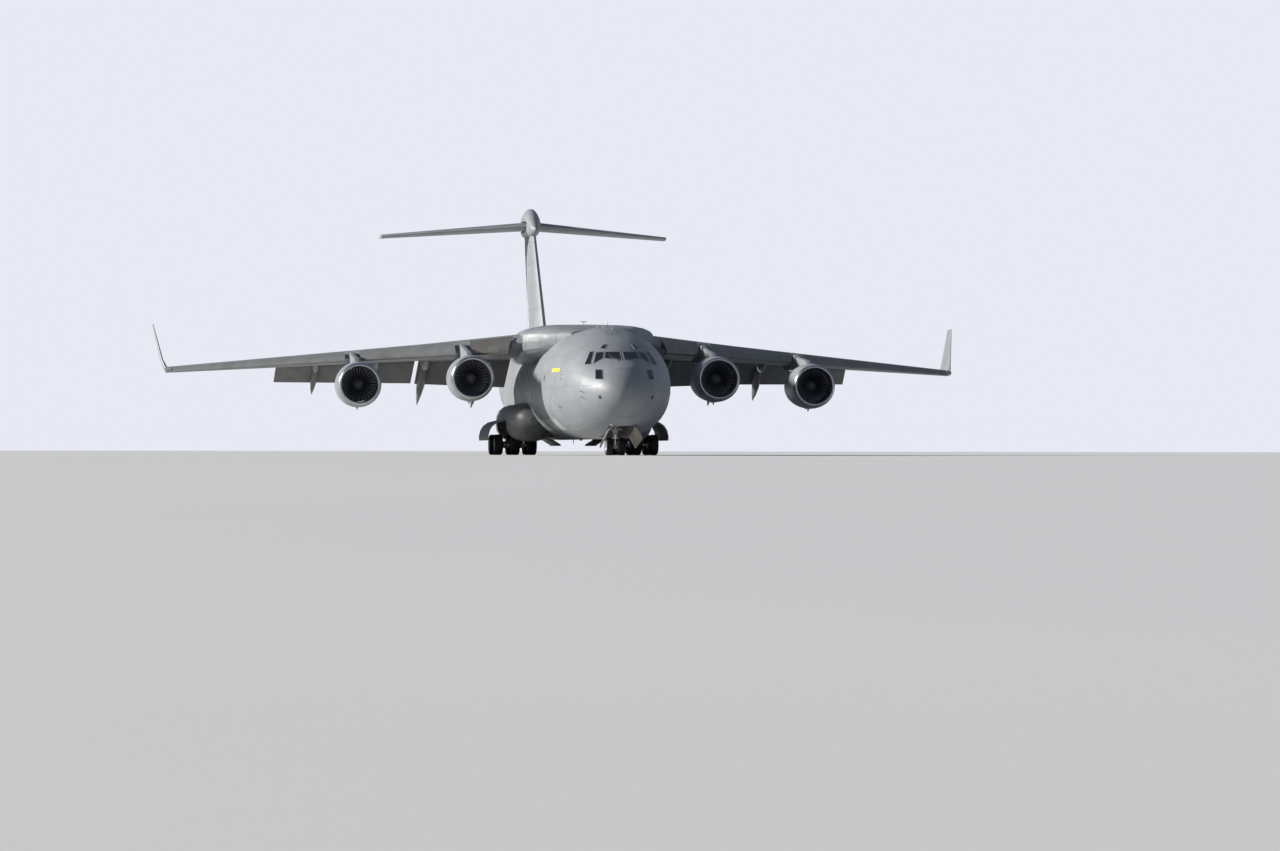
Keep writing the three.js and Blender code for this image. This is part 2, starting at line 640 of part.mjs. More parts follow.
// Flight deck: floor, panel, console, seats and rear wall in one piece
const seat = (x, s) => joined([
  box(x - 260, x + 260, s, s + 520, DECK_TOP - 10, DECK_TOP + 480),
  box(x - 250, x + 250, s + 430, s + 600, DECK_TOP + 400, DECK_TOP + 1250),
]);
const deckFloor = hullBody(CABIN_INNER_START + 20, CARGO_START - 40, SKIN + GAP)
  .intersect(box(-4000, 4000, CABIN_INNER_START + 40, 7700, DECK_TOP - 98, DECK_TOP));
const rearWall = hullBody(6000, CARGO_START, SKIN + GAP)
  .intersect(box(-4000, 4000, 7600, 7700, DECK_TOP - 98, 9000));
const panel = hullBody(CABIN_INNER_START + 20, CARGO_START, SKIN + 60)
  .intersect(prismAlongX([[2350, 3960], [2750, 3960], [2750, 4900], [2350, 5060]], -1500, 1500));
add('flight_deck', joined([
  deckFloor, rearWall, panel,
  box(-240, 240, 2700, 3900, DECK_TOP - 10, DECK_TOP + 560),
  seat(-680, 3250), seat(680, 3250), seat(-900, 5300), seat(900, 5300),
]), CABIN_GREY);

const crewDoor = hullBody(5500, 8000, 0).subtract(hullBody(5400, 8100, SKIN))
  .intersect(box(2000, 4200, CREW_DOOR.s0 + 12, CREW_DOOR.s1 - 12, CREW_DOOR.z0 + 12, CREW_DOOR.z1 - 12))
  .add(crewHinge(25, 0));
add('crew_door', crewDoor, PAINT);

// Centre fuselage with the wing root fairing
const fairingRing = (s, half, low, high) => {
  const ring = [];
  for (let i = 0; i < 24; i += 1) {
    const a = (2 * Math.PI * i) / 24;
    const c = Math.cos(a);
    const d = Math.sin(a);
    const mid = (low + high) / 2;
    const x = Math.sign(c) * Math.abs(c) ** 0.55 * half;
    const z = mid + Math.sign(d) * Math.abs(d) ** 0.6 * ((high - low) / 2);
    ring.push([x, yAt(s), z]);
  }
  return ring;
};
const wingFairing = loft([
  fairingRing(14200, 1500, 6500, 7450),
  fairingRing(15600, 2900, 6000, 7750),
  fairingRing(17300, 4080, 5700, 7900),
  fairingRing(21500, 4080, 5500, 7930),
  fairingRing(23500, 3880, 5450, 7900),
  fairingRing(27800, 3700, 5500, 7700),
  fairingRing(30500, 2200, 6200, 7500),
]).intersect(box(GAP - WING_ROOT_X, WING_ROOT_X - GAP, 14000, 31000, 5000, 8500));
const centre = hullBody(FORWARD_END, CENTRE_END - GAP, 0)
  .add(wingFairing)
  .subtract(hold);
add('centre_fuselage', centre, PAINT);

// Ramp and cargo door in the rising underside
const rampProfile = (e) => [
  [RAMP.s0 - e, 300], [RAMP.s0 - e, CARGO_FLOOR + e], [RAMP.s1 - 300 + e, 2930 + e], [RAMP.s1 + e, 2350],
  [RAMP.s1 + e, 300],
];
const rampHinge = (radius, half) => rod([-half, RAMP.s0 + 15, 1030], [half, RAMP.s0 + 15, 1030], radius);
const rampBody = hullBody(CENTRE_END, 39000, 0)
  .intersect(prismAlongX(rampProfile(-20), -RAMP.half + 20, RAMP.half - 20))
  .add(rampHinge(40, 600));
const aftSpaceRing = (s, floor) => {
  const row = lookUp(HULL, 'station', s);
  const w = row.half - 420;
  const half = Math.min(FLOOR_HALF, row.half - 650);
  const top = row.top - 700;
  const y = yAt(s);
  const z1 = (row.wide + top) / 2;
  return [
    [half, y, floor], [w, y, Math.max(row.wide, floor + 300)], [w * 0.8, y, Math.max(z1, floor + 400)],
    [w * 0.4, y, top], [-w * 0.4, y, top], [-w * 0.8, y, Math.max(z1, floor + 400)],
    [-w, y, Math.max(row.wide, floor + 300)], [-half, y, floor],
  ];
};
const aftSpace = loft([
  aftSpaceRing(CENTRE_END - 40, CARGO_FLOOR), aftSpaceRing(37600, 3000), aftSpaceRing(43300, 4700),
]);
const doorPlan = (e) => [
  [-CARGO_DOOR.halfFront - e, CARGO_DOOR.s0 - e], [CARGO_DOOR.halfFront + e, CARGO_DOOR.s0 - e],
  [CARGO_DOOR.halfRear + e, CARGO_DOOR.s1 + e], [-CARGO_DOOR.halfRear - e, CARGO_DOOR.s1 + e],
];
const doorHinge = (radius, half) => rod(
  [-half, CARGO_DOOR.s1 - 10, 4170], [half, CARGO_DOOR.s1 - 10, 4170], radius,
);
const doorCut = joined([
  prismAlongZ(doorPlan(0), 300, 5200),
  box(-CARGO_DOOR.halfFront, CARGO_DOOR.halfFront, RAMP.s1 - 20, CARGO_DOOR.s0 + 20, 300, 5200),
  box(-CARGO_DOOR.halfFront, CARGO_DOOR.halfFront, RAMP.s1 - 330, CARGO_DOOR.s0 + 20, 2350, 5200),
  box(-1250, 1250, CARGO_DOOR.s1 - 60, CARGO_DOOR.s1 + 70, 4205, 4800),
]);
const cargoDoor = hullBody(37000, 44500, 0).subtract(hullBody(36900, 44600, 260))
  .intersect(prismAlongZ(doorPlan(-20), 300, 4900))
  .add(doorHinge(30, 800));
const aft = hullBody(CENTRE_END, TAIL_END, 0)
  .subtract(aftSpace)
  .subtract(prismAlongX(rampProfile(0), -RAMP.half, RAMP.half))
  .subtract(box(-RAMP.half, RAMP.half, RAMP.s0 - 32, RAMP.s0 + 10, 300, 1030))
  .subtract(rampHinge(boreFor(40), 610))
  .subtract(doorHinge(boreFor(30), 810))
  .subtract(doorCut);
add('aft_fuselage', aft, PAINT);
add('cargo_ramp', rampBody, PAINT);
add('cargo_door', cargoDoor, PAINT);

// Undercarriage pods
const POD = [
  { station: 18700, mid: 3100, half: 350, zmid: 2050, high: 330 },
  { station: 19100, mid: 3100, half: 850, zmid: 2030, high: 800 },
  { station: 19900, mid: 3100, half: 1210, zmid: 2000, high: 1050 },
  { station: 21200, mid: 3100, half: 1400, zmid: 2000, high: 1180 },
  { station: 27600, mid: 3100, half: 1400, zmid: 2000, high: 1180 },
  { station: 30000, mid: 3050, half: 1150, zmid: 2100, high: 1020 },
  { station: 32500, mid: 2850, half: 700, zmid: 2350, high: 620 },
  { station: 33400, mid: 2750, half: 300, zmid: 2450, high: 250 },
];
const podBody = loft(POD.map((row) => {
  const ring = [];
  for (let i = 0; i < 20; i += 1) {
    const a = (2 * Math.PI * i) / 20;
    const c = Math.cos(a);
    const d = Math.sin(a);
    ring.push([
      row.mid + Math.sign(c) * Math.abs(c) ** 0.8 * row.half, yAt(row.station),
      row.zmid + Math.sign(d) * Math.abs(d) ** 0.8 * row.high,
    ]);
  }
  return ring;
}));
const MAIN_BAY = { x0: 2100, x1: 5400, s0: 21750, s1: 26850, top: 2500, wallX: 4300 };
const OUTER_DOOR_HINGE = { x: 4485, z: 2150 };
const INNER_DOOR_HINGE = { x: 2095, z: 1080 };
const doorPin = (hinge, radius, end) => rod(
  [hinge.x, MAIN_BAY.s0 + 100 - end, hinge.z], [hinge.x, MAIN_BAY.s1 - 100 + end, hinge.z], radius,
);
const mainBay = joined([
  box(MAIN_BAY.x0, MAIN_BAY.wallX, MAIN_BAY.s0, MAIN_BAY.s1, 0, MAIN_BAY.top),
  box(MAIN_BAY.wallX - 50, MAIN_BAY.x1, MAIN_BAY.s0, MAIN_BAY.s1, 0, OUTER_DOOR_HINGE.z),
  doorPin(OUTER_DOOR_HINGE, boreFor(25), 10),
  doorPin(INNER_DOOR_HINGE, boreFor(25), 10),
]);
const hullOuter = hullBody(FORWARD_END + 2000, 36000, -GAP);
const pod = podBody.subtract(hullOuter).subtract(mainBay);

// Main undercarriage doors are the pod's own skin, swung open
const podInner = loft(POD.map((row) => {
  const ring = [];
  for (let i = 0; i < 20; i += 1) {
    const a = (2 * Math.PI * i) / 20;
    const c = Math.cos(a);
    const d = Math.sin(a);
    ring.push([
      row.mid + Math.sign(c) * Math.abs(c) ** 0.8 * Math.max(row.half - 70, 50), yAt(row.station),
      row.zmid + Math.sign(d) * Math.abs(d) ** 0.8 * Math.max(row.high - 70, 50),
    ]);
  }
  return ring;
}));
const podSkin = podBody.subtract(podInner);
const outerDoorShut = podSkin
  .intersect(box(3400, 5400, MAIN_BAY.s0 + 20, MAIN_BAY.s1 - 20, 0, OUTER_DOOR_HINGE.z - 8))
  .add(doorPin(OUTER_DOOR_HINGE, 25, 0));
const innerDoorShut = podSkin
  .intersect(box(INNER_DOOR_HINGE.x + 12, 3200, MAIN_BAY.s0 + 20, MAIN_BAY.s1 - 20, 0, 1500))
  .add(doorPin(INNER_DOOR_HINGE, 25, 0));
const swungOpen = (door, hinge, degrees) => (
  turnAbout(door, [hinge.x, 0, hinge.z], [hinge.x, 1000, hinge.z], degrees)
);
const outerDoor = swungOpen(outerDoorShut, OUTER_DOOR_HINGE, -OUTER_DOOR_ANGLE);
const innerDoor = swungOpen(innerDoorShut, INNER_DOOR_HINGE, INNER_DOOR_ANGLE);

// Wing, slats and flaps of the port side
const WING_STATIONS = [WING_ROOT_X, WING_KINK_X, WING_TIP_X];
const slatBayStations = [WING_ROOT_X - 50, WING_KINK_X, SLAT_END_X];
const slatBay = loft(wingRings(SLAT_BAY, slatBayStations)).subtract(besideRoot(0));
const bays = joined([
  slatBay,
  loft(wingRings(FLAP_BAY, [WING_ROOT_X - 50, WING_KINK_X, FLAP_END_X])),
  loft(wingRings(AILERON_BAY, [FLAP_END_X + RIB, AILERON_END_X])),
]);
const WINGLET = [
  { t: 0, x: 25060, le: 28900, chord: 3050, z: 5330, thick: 0.1 },
  { t: 0.25, x: 25330, le: 29900, chord: 2500, z: 5980, thick: 0.08 },
  { t: 1, x: 25850, le: 31750, chord: 1150, z: 8230, thick: 0.07 },
];
const winglet = loft(WINGLET.map((row) => {
  const half = [0, 0.05, 0.25, 0.5, 1];
  const width = [0, 0.35, 0.5, 0.42, 0.03];
  const ring = [];
  half.forEach((c, i) => {
    ring.push([row.x + width[i] * row.thick * row.chord, yAt(row.le + c * row.chord), row.z]);
  });
  for (let i = half.length - 1; i > 0; i -= 1) {
    ring.push([row.x - width[i] * row.thick * row.chord, yAt(row.le + half[i] * row.chord), row.z]);
  }
  return ring;
}));
const SPOILER = { x0: 10300, x1: 17900, c0: 0.614, c1: 0.76 };
const spoilerOutline = (e) => [
  [SPOILER.c0, topH(SPOILER.c0), 30], [SPOILER.c1 + 0.004, topH(SPOILER.c1 + 0.004), 30],
  [SPOILER.c1 + 0.004, topH(SPOILER.c1), -40], [SPOILER.c0, topH(SPOILER.c0), -70 + e],
];
const spoilerCut = loft(wingRings(spoilerOutline(0), [SPOILER.x0, SPOILER.x1]));
const spoilerFront = SPOILER.c0 + 0.005;
const spoilerShape = [
  [spoilerFront, topH(spoilerFront), 0], [0.7, topH(0.7), 0], [SPOILER.c1, topH(SPOILER.c1), 0],
  [SPOILER.c1, topH(SPOILER.c1), -16], [0.7, topH(0.7), -40], [spoilerFront, topH(spoilerFront), -50],
];
const spoilerPin = (radius, reach) => {
  const at = (x) => wingPoint(x, spoilerFront, topH(spoilerFront), -25);
  return joined([
    rodBetween(at(SPOILER.x0 - reach), at(SPOILER.x0 + 60), radius, 8),
    rodBetween(at(SPOILER.x1 - 60), at(SPOILER.x1 + reach), radius, 8),
  ]);
};
const spoiler = loft(wingRings(spoilerShape, [SPOILER.x0 + 15, SPOILER.x1 - 15])).add(spoilerPin(12, 40));
const FLAPS = [
  {
    name: 'flap_inner', x0: WING_ROOT_X + 40, x1: WING_KINK_X - 200,
    fairings: [{ x: 5800, width: 620, tail: 4670 }, { x: 9200, width: 520, tail: 4250 }],
  },
  {
    name: 'flap_outer', x0: WING_KINK_X + 60, x1: FLAP_END_X - 60,
    fairings: [{ x: 12200, width: 440, tail: 3520 }, { x: 15850, width: 400, tail: 2730 }],
  },
];
const fixedFairings = FLAPS.flatMap((flap) => flap.fairings.map((row) => fixedFairing(flap, row)));

// Pins that the aileron turns on, from the ribs beside it
const aileronHinge = (x) => wingPoint(x, 0.778, (topH(0.778) + bottomH(0.778)) / 2);
const aileronPins = (radius, reach) => joined([
  rodBetween(aileronHinge(FLAP_END_X + RIB - 60), aileronHinge(FLAP_END_X + RIB + reach), radius, 10),
  rodBetween(aileronHinge(AILERON_END_X - reach), aileronHinge(AILERON_END_X + 60), radius, 10),
]);
const railPockets = SLATS.flatMap((slat) => slat.rails.map((at) => slatRail(slat, at, GAP)));
const wing = joined([loft(wingRings(wingOutline(), WING_STATIONS)).subtract(bays), winglet, ...fixedFairings])
  .add(aileronPins(20, 90))
  .subtract(spoilerCut)
  .subtract(spoilerPin(boreFor(12, 8), 45))
  .subtract(joined(railPockets));
const slatSolids = SLATS.map(slatSolid);
slatSolids[0] = slatSolids[0].subtract(besideRoot(12));

const flapSolids = FLAPS.map((flap) => {
  const a = flapHinge(flap.x0);
  const b = flapHinge(flap.x1);
  const lower = (solid) => turnAbout(solid, a, b, -FLAP_ANGLE);
  const blade = lower(loft(wingRings(flapOutline(), [flap.x0, flap.x1])));
  return joined([blade, ...flap.fairings.map((row) => lower(movingFairing(flap, row)))]);
});

const aileronShape = [
  [0.763, 0.012, 0], [0.778, topH(0.778), 0], [0.9, topH(0.9), 0], [1, 0.003, 0],
  [1, -0.001, 0], [0.9, bottomH(0.9), 0], [0.778, bottomH(0.778), 0], [0.763, -0.002, 0],
];
const aileron = loft(wingRings(aileronShape, [FLAP_END_X + RIB + 30, AILERON_END_X - 30]))
  .subtract(aileronPins(boreFor(20, 10), 96));


// Engine pod with its core, held by the pylon
const COWL = [
  [1080, 60], [1150, -20], [1220, 20], [1330, 420], [1375, 1200], [1340, 2400],
  [1120, 4150], [1090, 4150], [1180, 2400], [1080, 1550], [1050, 600], [1080, 60],
];
const CORE = [
  [0, FAN_STATION + 260 + GAP], [150, FAN_STATION + 260 + GAP], [150, 1700], [420, 1700],
  [740, 2600], [780, 4000], [560, 5750], [400, 5650], [0, 6700],
];
function engineSolids(engine) {
  const x = Math.abs(engine.x);
  const centreLine = [x, engine.inlet, engine.z];
  const cowl = turnedAlongY(COWL, centreLine, 24);
  const core = turnedAlongY(CORE, centreLine, 14);
  const le = WING_LE_AT_CENTRE + x * WING_LE_SLOPE;
  const row = lookUp(WING_PLAN, 'x', x);
  const zw = WING_Z_AT_ROOT - (x - WING_ROOT_X) * WING_DROOP;
  const s = engine.inlet;
  const profile = [
    [s + 1500, engine.z + 1250], [s + 2400, engine.z + 1620], [le - 500, zw + 60], [le + 150, zw + 200],
    [le + 0.5 * row.chord, zw - 250], [le + 0.62 * row.chord, zw - 500], [le + 0.3 * row.chord, zw - 950],
    [s + 6300, engine.z + 560], [s + 5200, engine.z + 500], [s + 2200, engine.z + 500],
  ];
  const pylon = prismAlongX(profile, x - 190, x + 190);
  const pod = joined([cowl, core, pylon]).subtract(wingInflated);
  const fan = fanSolid(centreLine);
  return { pod, fan };
}
const wingInflated = loft(wingRings(wingOutline().map(([c, h, e]) => {
  const out = h >= (topH(c) + bottomH(c)) / 2 ? 1 : -1;
  return [c, h, e + out * GAP * 2];
}), WING_STATIONS)).subtract(slatBay.translate([0, -3, 0]));

function fanSolid(centreLine) {
  const spinner = turnedAlongY([
    [0, FAN_STATION - 420], [200, FAN_STATION - 260], [330, FAN_STATION + 20],
    [330, FAN_STATION + 260], [0, FAN_STATION + 260],
  ], centreLine, 12);
  const blades = [spinner];
  const count = 12;
  for (let i = 0; i < count; i += 1) {
    const blade = new THREE.BoxGeometry(26, 240, FAN_RADIUS - 250);
    blade.rotateZ(rad(50));
    blade.translate(0, 0, (FAN_RADIUS + 250) / 2);
    blade.rotateY((2 * Math.PI * i) / count);
    blade.translate(centreLine[0], yAt(centreLine[1] + FAN_STATION + 110), centreLine[2]);
    blades.push(toSolid(blade));
  }
  return joined(blades);
}

// Both sides of everything that comes in pairs
for (const side of ['port', 'starboard']) {
  const place = side === 'port' ? (solid) => solid : mirrored;
  add(`wing_${side}`, place(wing), PAINT);
  slatSolids.forEach((solid, i) => add(`${SLATS[i].name}_${side}`, place(solid), BARE_METAL));
  FLAPS.forEach((flap, i) => add(`${flap.name}_${side}`, place(flapSolids[i]), PAINT_DARK));
  add(`aileron_${side}`, place(aileron), PAINT);
  add(`spoiler_${side}`, place(spoiler), PAINT);
  add(`gear_pod_${side}`, place(pod), PAINT);
  add(`main_door_outer_${side}`, place(outerDoor), PAINT);
  add(`main_door_inner_${side}`, place(innerDoor), PAINT);
}

for (const engine of ENGINES) {
  const place = engine.x > 0 ? (solid) => solid : mirrored;
  const solids = engineSolids(engine);
  add(engine.name, place(solids.pod), PAINT);
  add(engine.name.replace('engine', 'fan'), place(solids.fan), DARK_METAL);
}

// Fin with the fairing that carries the tailplane
const FIN = [
  { z: 7250, le: 38600, chord: 9300, half: 480 },
  { z: 8500, le: 39700, chord: 8450, half: 430 },
  { z: 15350, le: 45650, chord: 5050, half: 280 },
];
const FIN_CUT = 0.7;
const finRing = (row, c0, c1) => {
  const stops = [0, 0.03, 0.12, 0.3, 0.5, 0.7, 1];
  const width = [0, 0.38, 0.72, 1, 0.92, 0.62, 0.04];
  const widthAt = (c) => {
    const i = Math.max(stops.findIndex((v) => v >= c), 1);
    return lerp(width[i - 1], width[i], (c - stops[i - 1]) / (stops[i] - stops[i - 1]));
  };
  const cs = [c0, ...stops.filter((c) => c > c0 && c < c1), c1];
  const right = cs.map((c) => [Math.max(widthAt(c), 0.02) * row.half, yAt(row.le + c * row.chord), row.z]);
  return [...right, ...[...right].reverse().map(([x, y, z]) => [-x, y, z])];
};
const hullFin = hullBody(36000, TAIL_END, -GAP);
const finAt = (z) => lookUp(FIN, 'z', z);
const RUDDER = { z0: 7700, z1: 14600, hinge: 0.735 };
const rudderEdge = (z) => finAt(z).le + RUDDER.hinge * finAt(z).chord;
const rudderAxis = (z) => {
  const t = (z - RUDDER.z0) / (RUDDER.z1 - RUDDER.z0);
  return [0, yAt(rudderEdge(RUDDER.z0) * (1 - t) + rudderEdge(RUDDER.z1) * t), z];
};
const rudderPins = (radius, reach) => joined([
  rodBetween(rudderAxis(RUDDER.z0 - 180), rudderAxis(RUDDER.z0 + reach), radius),
  rodBetween(rudderAxis(RUDDER.z1 - reach), rudderAxis(RUDDER.z1 + 180), radius),
]);
const finBlade = joined([
  loft(FIN.map((row) => finRing(row, 0, FIN_CUT))),
  loft([7250, RUDDER.z0 - 80].map((z) => finRing(finAt(z), FIN_CUT - 0.02, 1))),
  loft([RUDDER.z1 + 60, 15350].map((z) => finRing(finAt(z), FIN_CUT - 0.02, 1))),
  rudderPins(30, 140),
]);
const bulletRing = (s, half, z0, z1) => {
  const ring = [];
  for (let i = 0; i < 14; i += 1) {
    const a = (2 * Math.PI * i) / 14;
    ring.push([Math.cos(a) * half, yAt(s), (z0 + z1) / 2 + Math.sin(a) * (z1 - z0) / 2]);
  }
  return ring;
};
const bullet = loft([
  bulletRing(44000, 60, 15100, 15250), bulletRing(44600, 330, 14900, 15700),
  bulletRing(46000, 540, 14750, 16500), bulletRing(47300, 560, 14750, 16790),
  bulletRing(49500, 460, 14850, 16500), bulletRing(51600, 60, 15350, 15700),
]);
const STAB = [
  { x: 0, le: 45250, chord: 5400, z: 15560 },
  { x: 9900, le: 50550, chord: 2490, z: 15020 },
];
const stabAt = (x) => lookUp(STAB, 'x', x);
const STAB_TOP = [[0, 0], [0.02, 0.02], [0.1, 0.042], [0.3, 0.055], [0.55, 0.045], [0.72, 0.03], [1, 0.003]];
const stabPoint = (x, c, h) => {
  const row = stabAt(x);
  return [x, yAt(row.le + c * row.chord), row.z + h * row.chord];
};
const stabOutline = (c0, c1) => {
  const cs = [c0, ...STAB_TOP.map((p) => p[0]).filter((c) => c > c0 && c < c1), c1];
  const up = cs.map((c) => [c, Math.max(heightOn(STAB_TOP, c), 0.0025)]);
  const down = [...cs].reverse().map((c) => [c, -Math.max(heightOn(STAB_TOP, c), 0.0025)]);
  return [...up, ...down];
};
const stabLoft = (c0, c1, x0, x1) => (
  loft([x0, x1].map((x) => stabOutline(c0, c1).map(([c, h]) => stabPoint(x, c, h))))
);
const ELEVATOR = { x0: 560, x1: 9560, hinge: 0.72 };
const elevatorPin = (radius, reach) => rodBetween(
  stabPoint(ELEVATOR.x1 - reach, ELEVATOR.hinge, 0),
  stabPoint(ELEVATOR.x1 + 100, ELEVATOR.hinge, 0),
  radius, 10,
);
const TRIM_AXIS = { station: 48700, z: 15450 };
const trimDrum = (radius, half) => rod(
  [-half, TRIM_AXIS.station, TRIM_AXIS.z], [half, TRIM_AXIS.station, TRIM_AXIS.z], radius, AXLE_SIDES,
);
const stabHalf = joined([stabLoft(0, 0.68, 0, 9600), stabLoft(0, 1, 9590, 9900), elevatorPin(20, 90)]);
const tailplane = joined([stabHalf, mirrored(stabHalf), trimDrum(260, 220)]);
const ELEVATOR_SHAPE = [
  [0.692, 0.008], [0.72, 0.03], [1, 0.003], [1, -0.003], [0.72, -0.03], [0.692, -0.008],
];
const elevatorRing = (x) => ELEVATOR_SHAPE.map(([c, h]) => stabPoint(x, c, h));
const elevator = loft([elevatorRing(ELEVATOR.x0), elevatorRing(ELEVATOR.x1)])
  .subtract(elevatorPin(boreFor(20, 10), 96));
const SLOT_TOP = [
  [-0.02, 0.028], [0.02, 0.044], [0.1, 0.062], [0.3, 0.07], [0.55, 0.056], [0.75, 0.043], [1.03, 0.03],
];
const slotRing = (x) => [
  ...SLOT_TOP.map(([c, h]) => stabPoint(x, c, h)),
  ...[...SLOT_TOP].reverse().map(([c, h]) => stabPoint(x, c, -h)),
];
const stabSlot = joined([
  loft([0, 640].map(slotRing)),
  loft([0, -640].map((x) => slotRing(-x).map(([, y, z]) => [x, y, z]))),
  trimDrum(boreFor(260, AXLE_SIDES), 220 + GAP),
]);
add('fin', joined([finBlade, bullet]).subtract(hullFin).subtract(stabSlot), PAINT);
const RUDDER_SHAPE = [[FIN_CUT + 0.01, 0.2], [RUDDER.hinge, 0.57], [1, 0.04]];
const rudder = loft([RUDDER.z0, RUDDER.z1].map((z) => {
  const row = finAt(z);
  const right = RUDDER_SHAPE.map(([c, w]) => {
    const lower = z === RUDDER.z1 ? 0.06 * Math.max(c - RUDDER.hinge, 0) * row.chord : 0;
    return [w * row.half, yAt(row.le + c * row.chord), z - lower];
  });
  return [...right, ...[...right].reverse().map(([x, y, height]) => [-x, y, height])];
})).subtract(hullFin).subtract(rudderPins(boreFor(30), 150));
add('rudder', rudder, PAINT);
add('tailplane', tailplane, PAINT);
add('elevator_port', elevator, PAINT);
add('elevator_starboard', mirrored(elevator), PAINT);

// Nose undercarriage
const legTop = NOSE_WELL.top - GAP;
const noseLeg = joined([
  rod([0, NOSE_AXLE_STATION, legTop - 200], [0, NOSE_AXLE_STATION, 1250], 150, 14),
  box(-420, 420, NOSE_AXLE_STATION - 180, NOSE_AXLE_STATION + 180, legTop - 260, legTop),
  rod([0, NOSE_AXLE_STATION - 40, 1550], [0, 3700, legTop - 150], 80, 10),
  box(-300, 300, 3550, 3850, legTop - 200, legTop),
]);
const forkTop = 1250;
const noseAxle = (radius) => rod(
  [-300, NOSE_AXLE_STATION, NOSE_TYRE_RADIUS], [300, NOSE_AXLE_STATION, NOSE_TYRE_RADIUS], radius, AXLE_SIDES,
);
const noseFork = joined([
  rod([0, NOSE_AXLE_STATION, forkTop - GAP], [0, NOSE_AXLE_STATION, NOSE_TYRE_RADIUS], 95, 12),
  rod([-130, NOSE_AXLE_STATION, NOSE_TYRE_RADIUS], [130, NOSE_AXLE_STATION, NOSE_TYRE_RADIUS], 120, 14),
]).subtract(noseAxle(boreFor(NOSE_AXLE_RADIUS, AXLE_SIDES)));
add('nose_leg', noseLeg, LEG_PAINT);
add('nose_fork', noseFork, BARE_METAL);

const wheelProfile = (r, w) => [
  [0, -w * 0.4], [r * 0.87, -w * 0.48], [r, -w * 0.25],
  [r, w * 0.25], [r * 0.87, w * 0.48], [0, w * 0.4],
];
// The wheel stands on one of its flats, which lie at the tyre radius
const wheelAt = (x, s, r, w) => {
  const turned = turnedAlongX(wheelProfile(r / Math.cos(Math.PI / WHEEL_SIDES), w), [0, 0, 0], WHEEL_SIDES);
  const centre = [x, yAt(s), r];
  return turned.translate([0, -NOSE_Y, 0]).rotate([180 / WHEEL_SIDES, 0, 0]).translate(centre);
};
const noseWheels = joined([
  wheelAt(-NOSE_WHEEL_X, NOSE_AXLE_STATION, NOSE_TYRE_RADIUS, NOSE_TYRE_WIDTH),
  wheelAt(NOSE_WHEEL_X, NOSE_AXLE_STATION, NOSE_TYRE_RADIUS, NOSE_TYRE_WIDTH),
  noseAxle(NOSE_AXLE_RADIUS),
]);
add('nose_wheels', noseWheels, TYRE_RUBBER);

// Nose undercarriage doors hang open beside the leg
const noseDoorShut = hullBody(1500, 7000, 0).subtract(hullBody(1400, 7100, 60))
  .intersect(box(10, NOSE_WELL.half - 15, NOSE_WELL.s0 + 60, NOSE_AXLE_STATION - 900, 0, 2600))
  .add(noseDoorPin(40, 0));
const noseDoor = turnAbout(noseDoorShut, noseDoorHinge(2000), noseDoorHinge(4500), -NOSE_DOOR_ANGLE);
add('nose_door_port', noseDoor, PAINT);
add('nose_door_starboard', mirrored(noseDoor), PAINT);

// Main undercarriage
const mainAxle = (station, radius) => rod(
  [Math.min(...MAIN_WHEEL_X), station, MAIN_TYRE_RADIUS],
  [Math.max(...MAIN_WHEEL_X), station, MAIN_TYRE_RADIUS], radius, AXLE_SIDES,
);
const legs = [];
for (const station of Object.values(MAIN_AXLE_STATIONS)) {
  legs.push(
    rod([MAIN_LEG_X, station, MAIN_BAY.top - 40], [MAIN_LEG_X, station, 1250], 170, 10),
    rod([MAIN_LEG_X, station, 1300], [MAIN_LEG_X, station, MAIN_TYRE_RADIUS], 115, 10),
    rod(
      [MAIN_LEG_X - 170, station, MAIN_TYRE_RADIUS], [MAIN_LEG_X + 170, station, MAIN_TYRE_RADIUS], 140, 12,
    ),
  );
}
const mainLegs = joined([
  ...legs,
  box(MAIN_LEG_X - 150, MAIN_LEG_X + 150, 22300, 26300, MAIN_BAY.top - 260, MAIN_BAY.top - GAP),
  rod([MAIN_LEG_X, 22900, 1350], [MAIN_LEG_X, 24300, 2350], 70, 6),
  rod([MAIN_LEG_X, 25700, 1350], [MAIN_LEG_X, 24300, 2350], 70, 6),
]).subtract(joined(Object.values(MAIN_AXLE_STATIONS).map((station) => (
  mainAxle(station, boreFor(MAIN_AXLE_RADIUS, AXLE_SIDES))
))));
add('main_legs_port', mainLegs, LEG_PAINT);
add('main_legs_starboard', mirrored(mainLegs), LEG_PAINT);
for (const [place, station] of Object.entries(MAIN_AXLE_STATIONS)) {
  const set = joined([
    ...MAIN_WHEEL_X.map((x) => wheelAt(x, station, MAIN_TYRE_RADIUS, MAIN_TYRE_WIDTH)),
    mainAxle(station, MAIN_AXLE_RADIUS),
  ]);
  add(`main_wheels_${place}_port`, set, TYRE_RUBBER);
  add(`main_wheels_${place}_starboard`, mirrored(set), TYRE_RUBBER);
}

export default aircraft;
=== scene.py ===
import json
import math

import bmesh
import bpy
from mathutils import Matrix, Vector
from mathutils.bvhtree import BVHTree


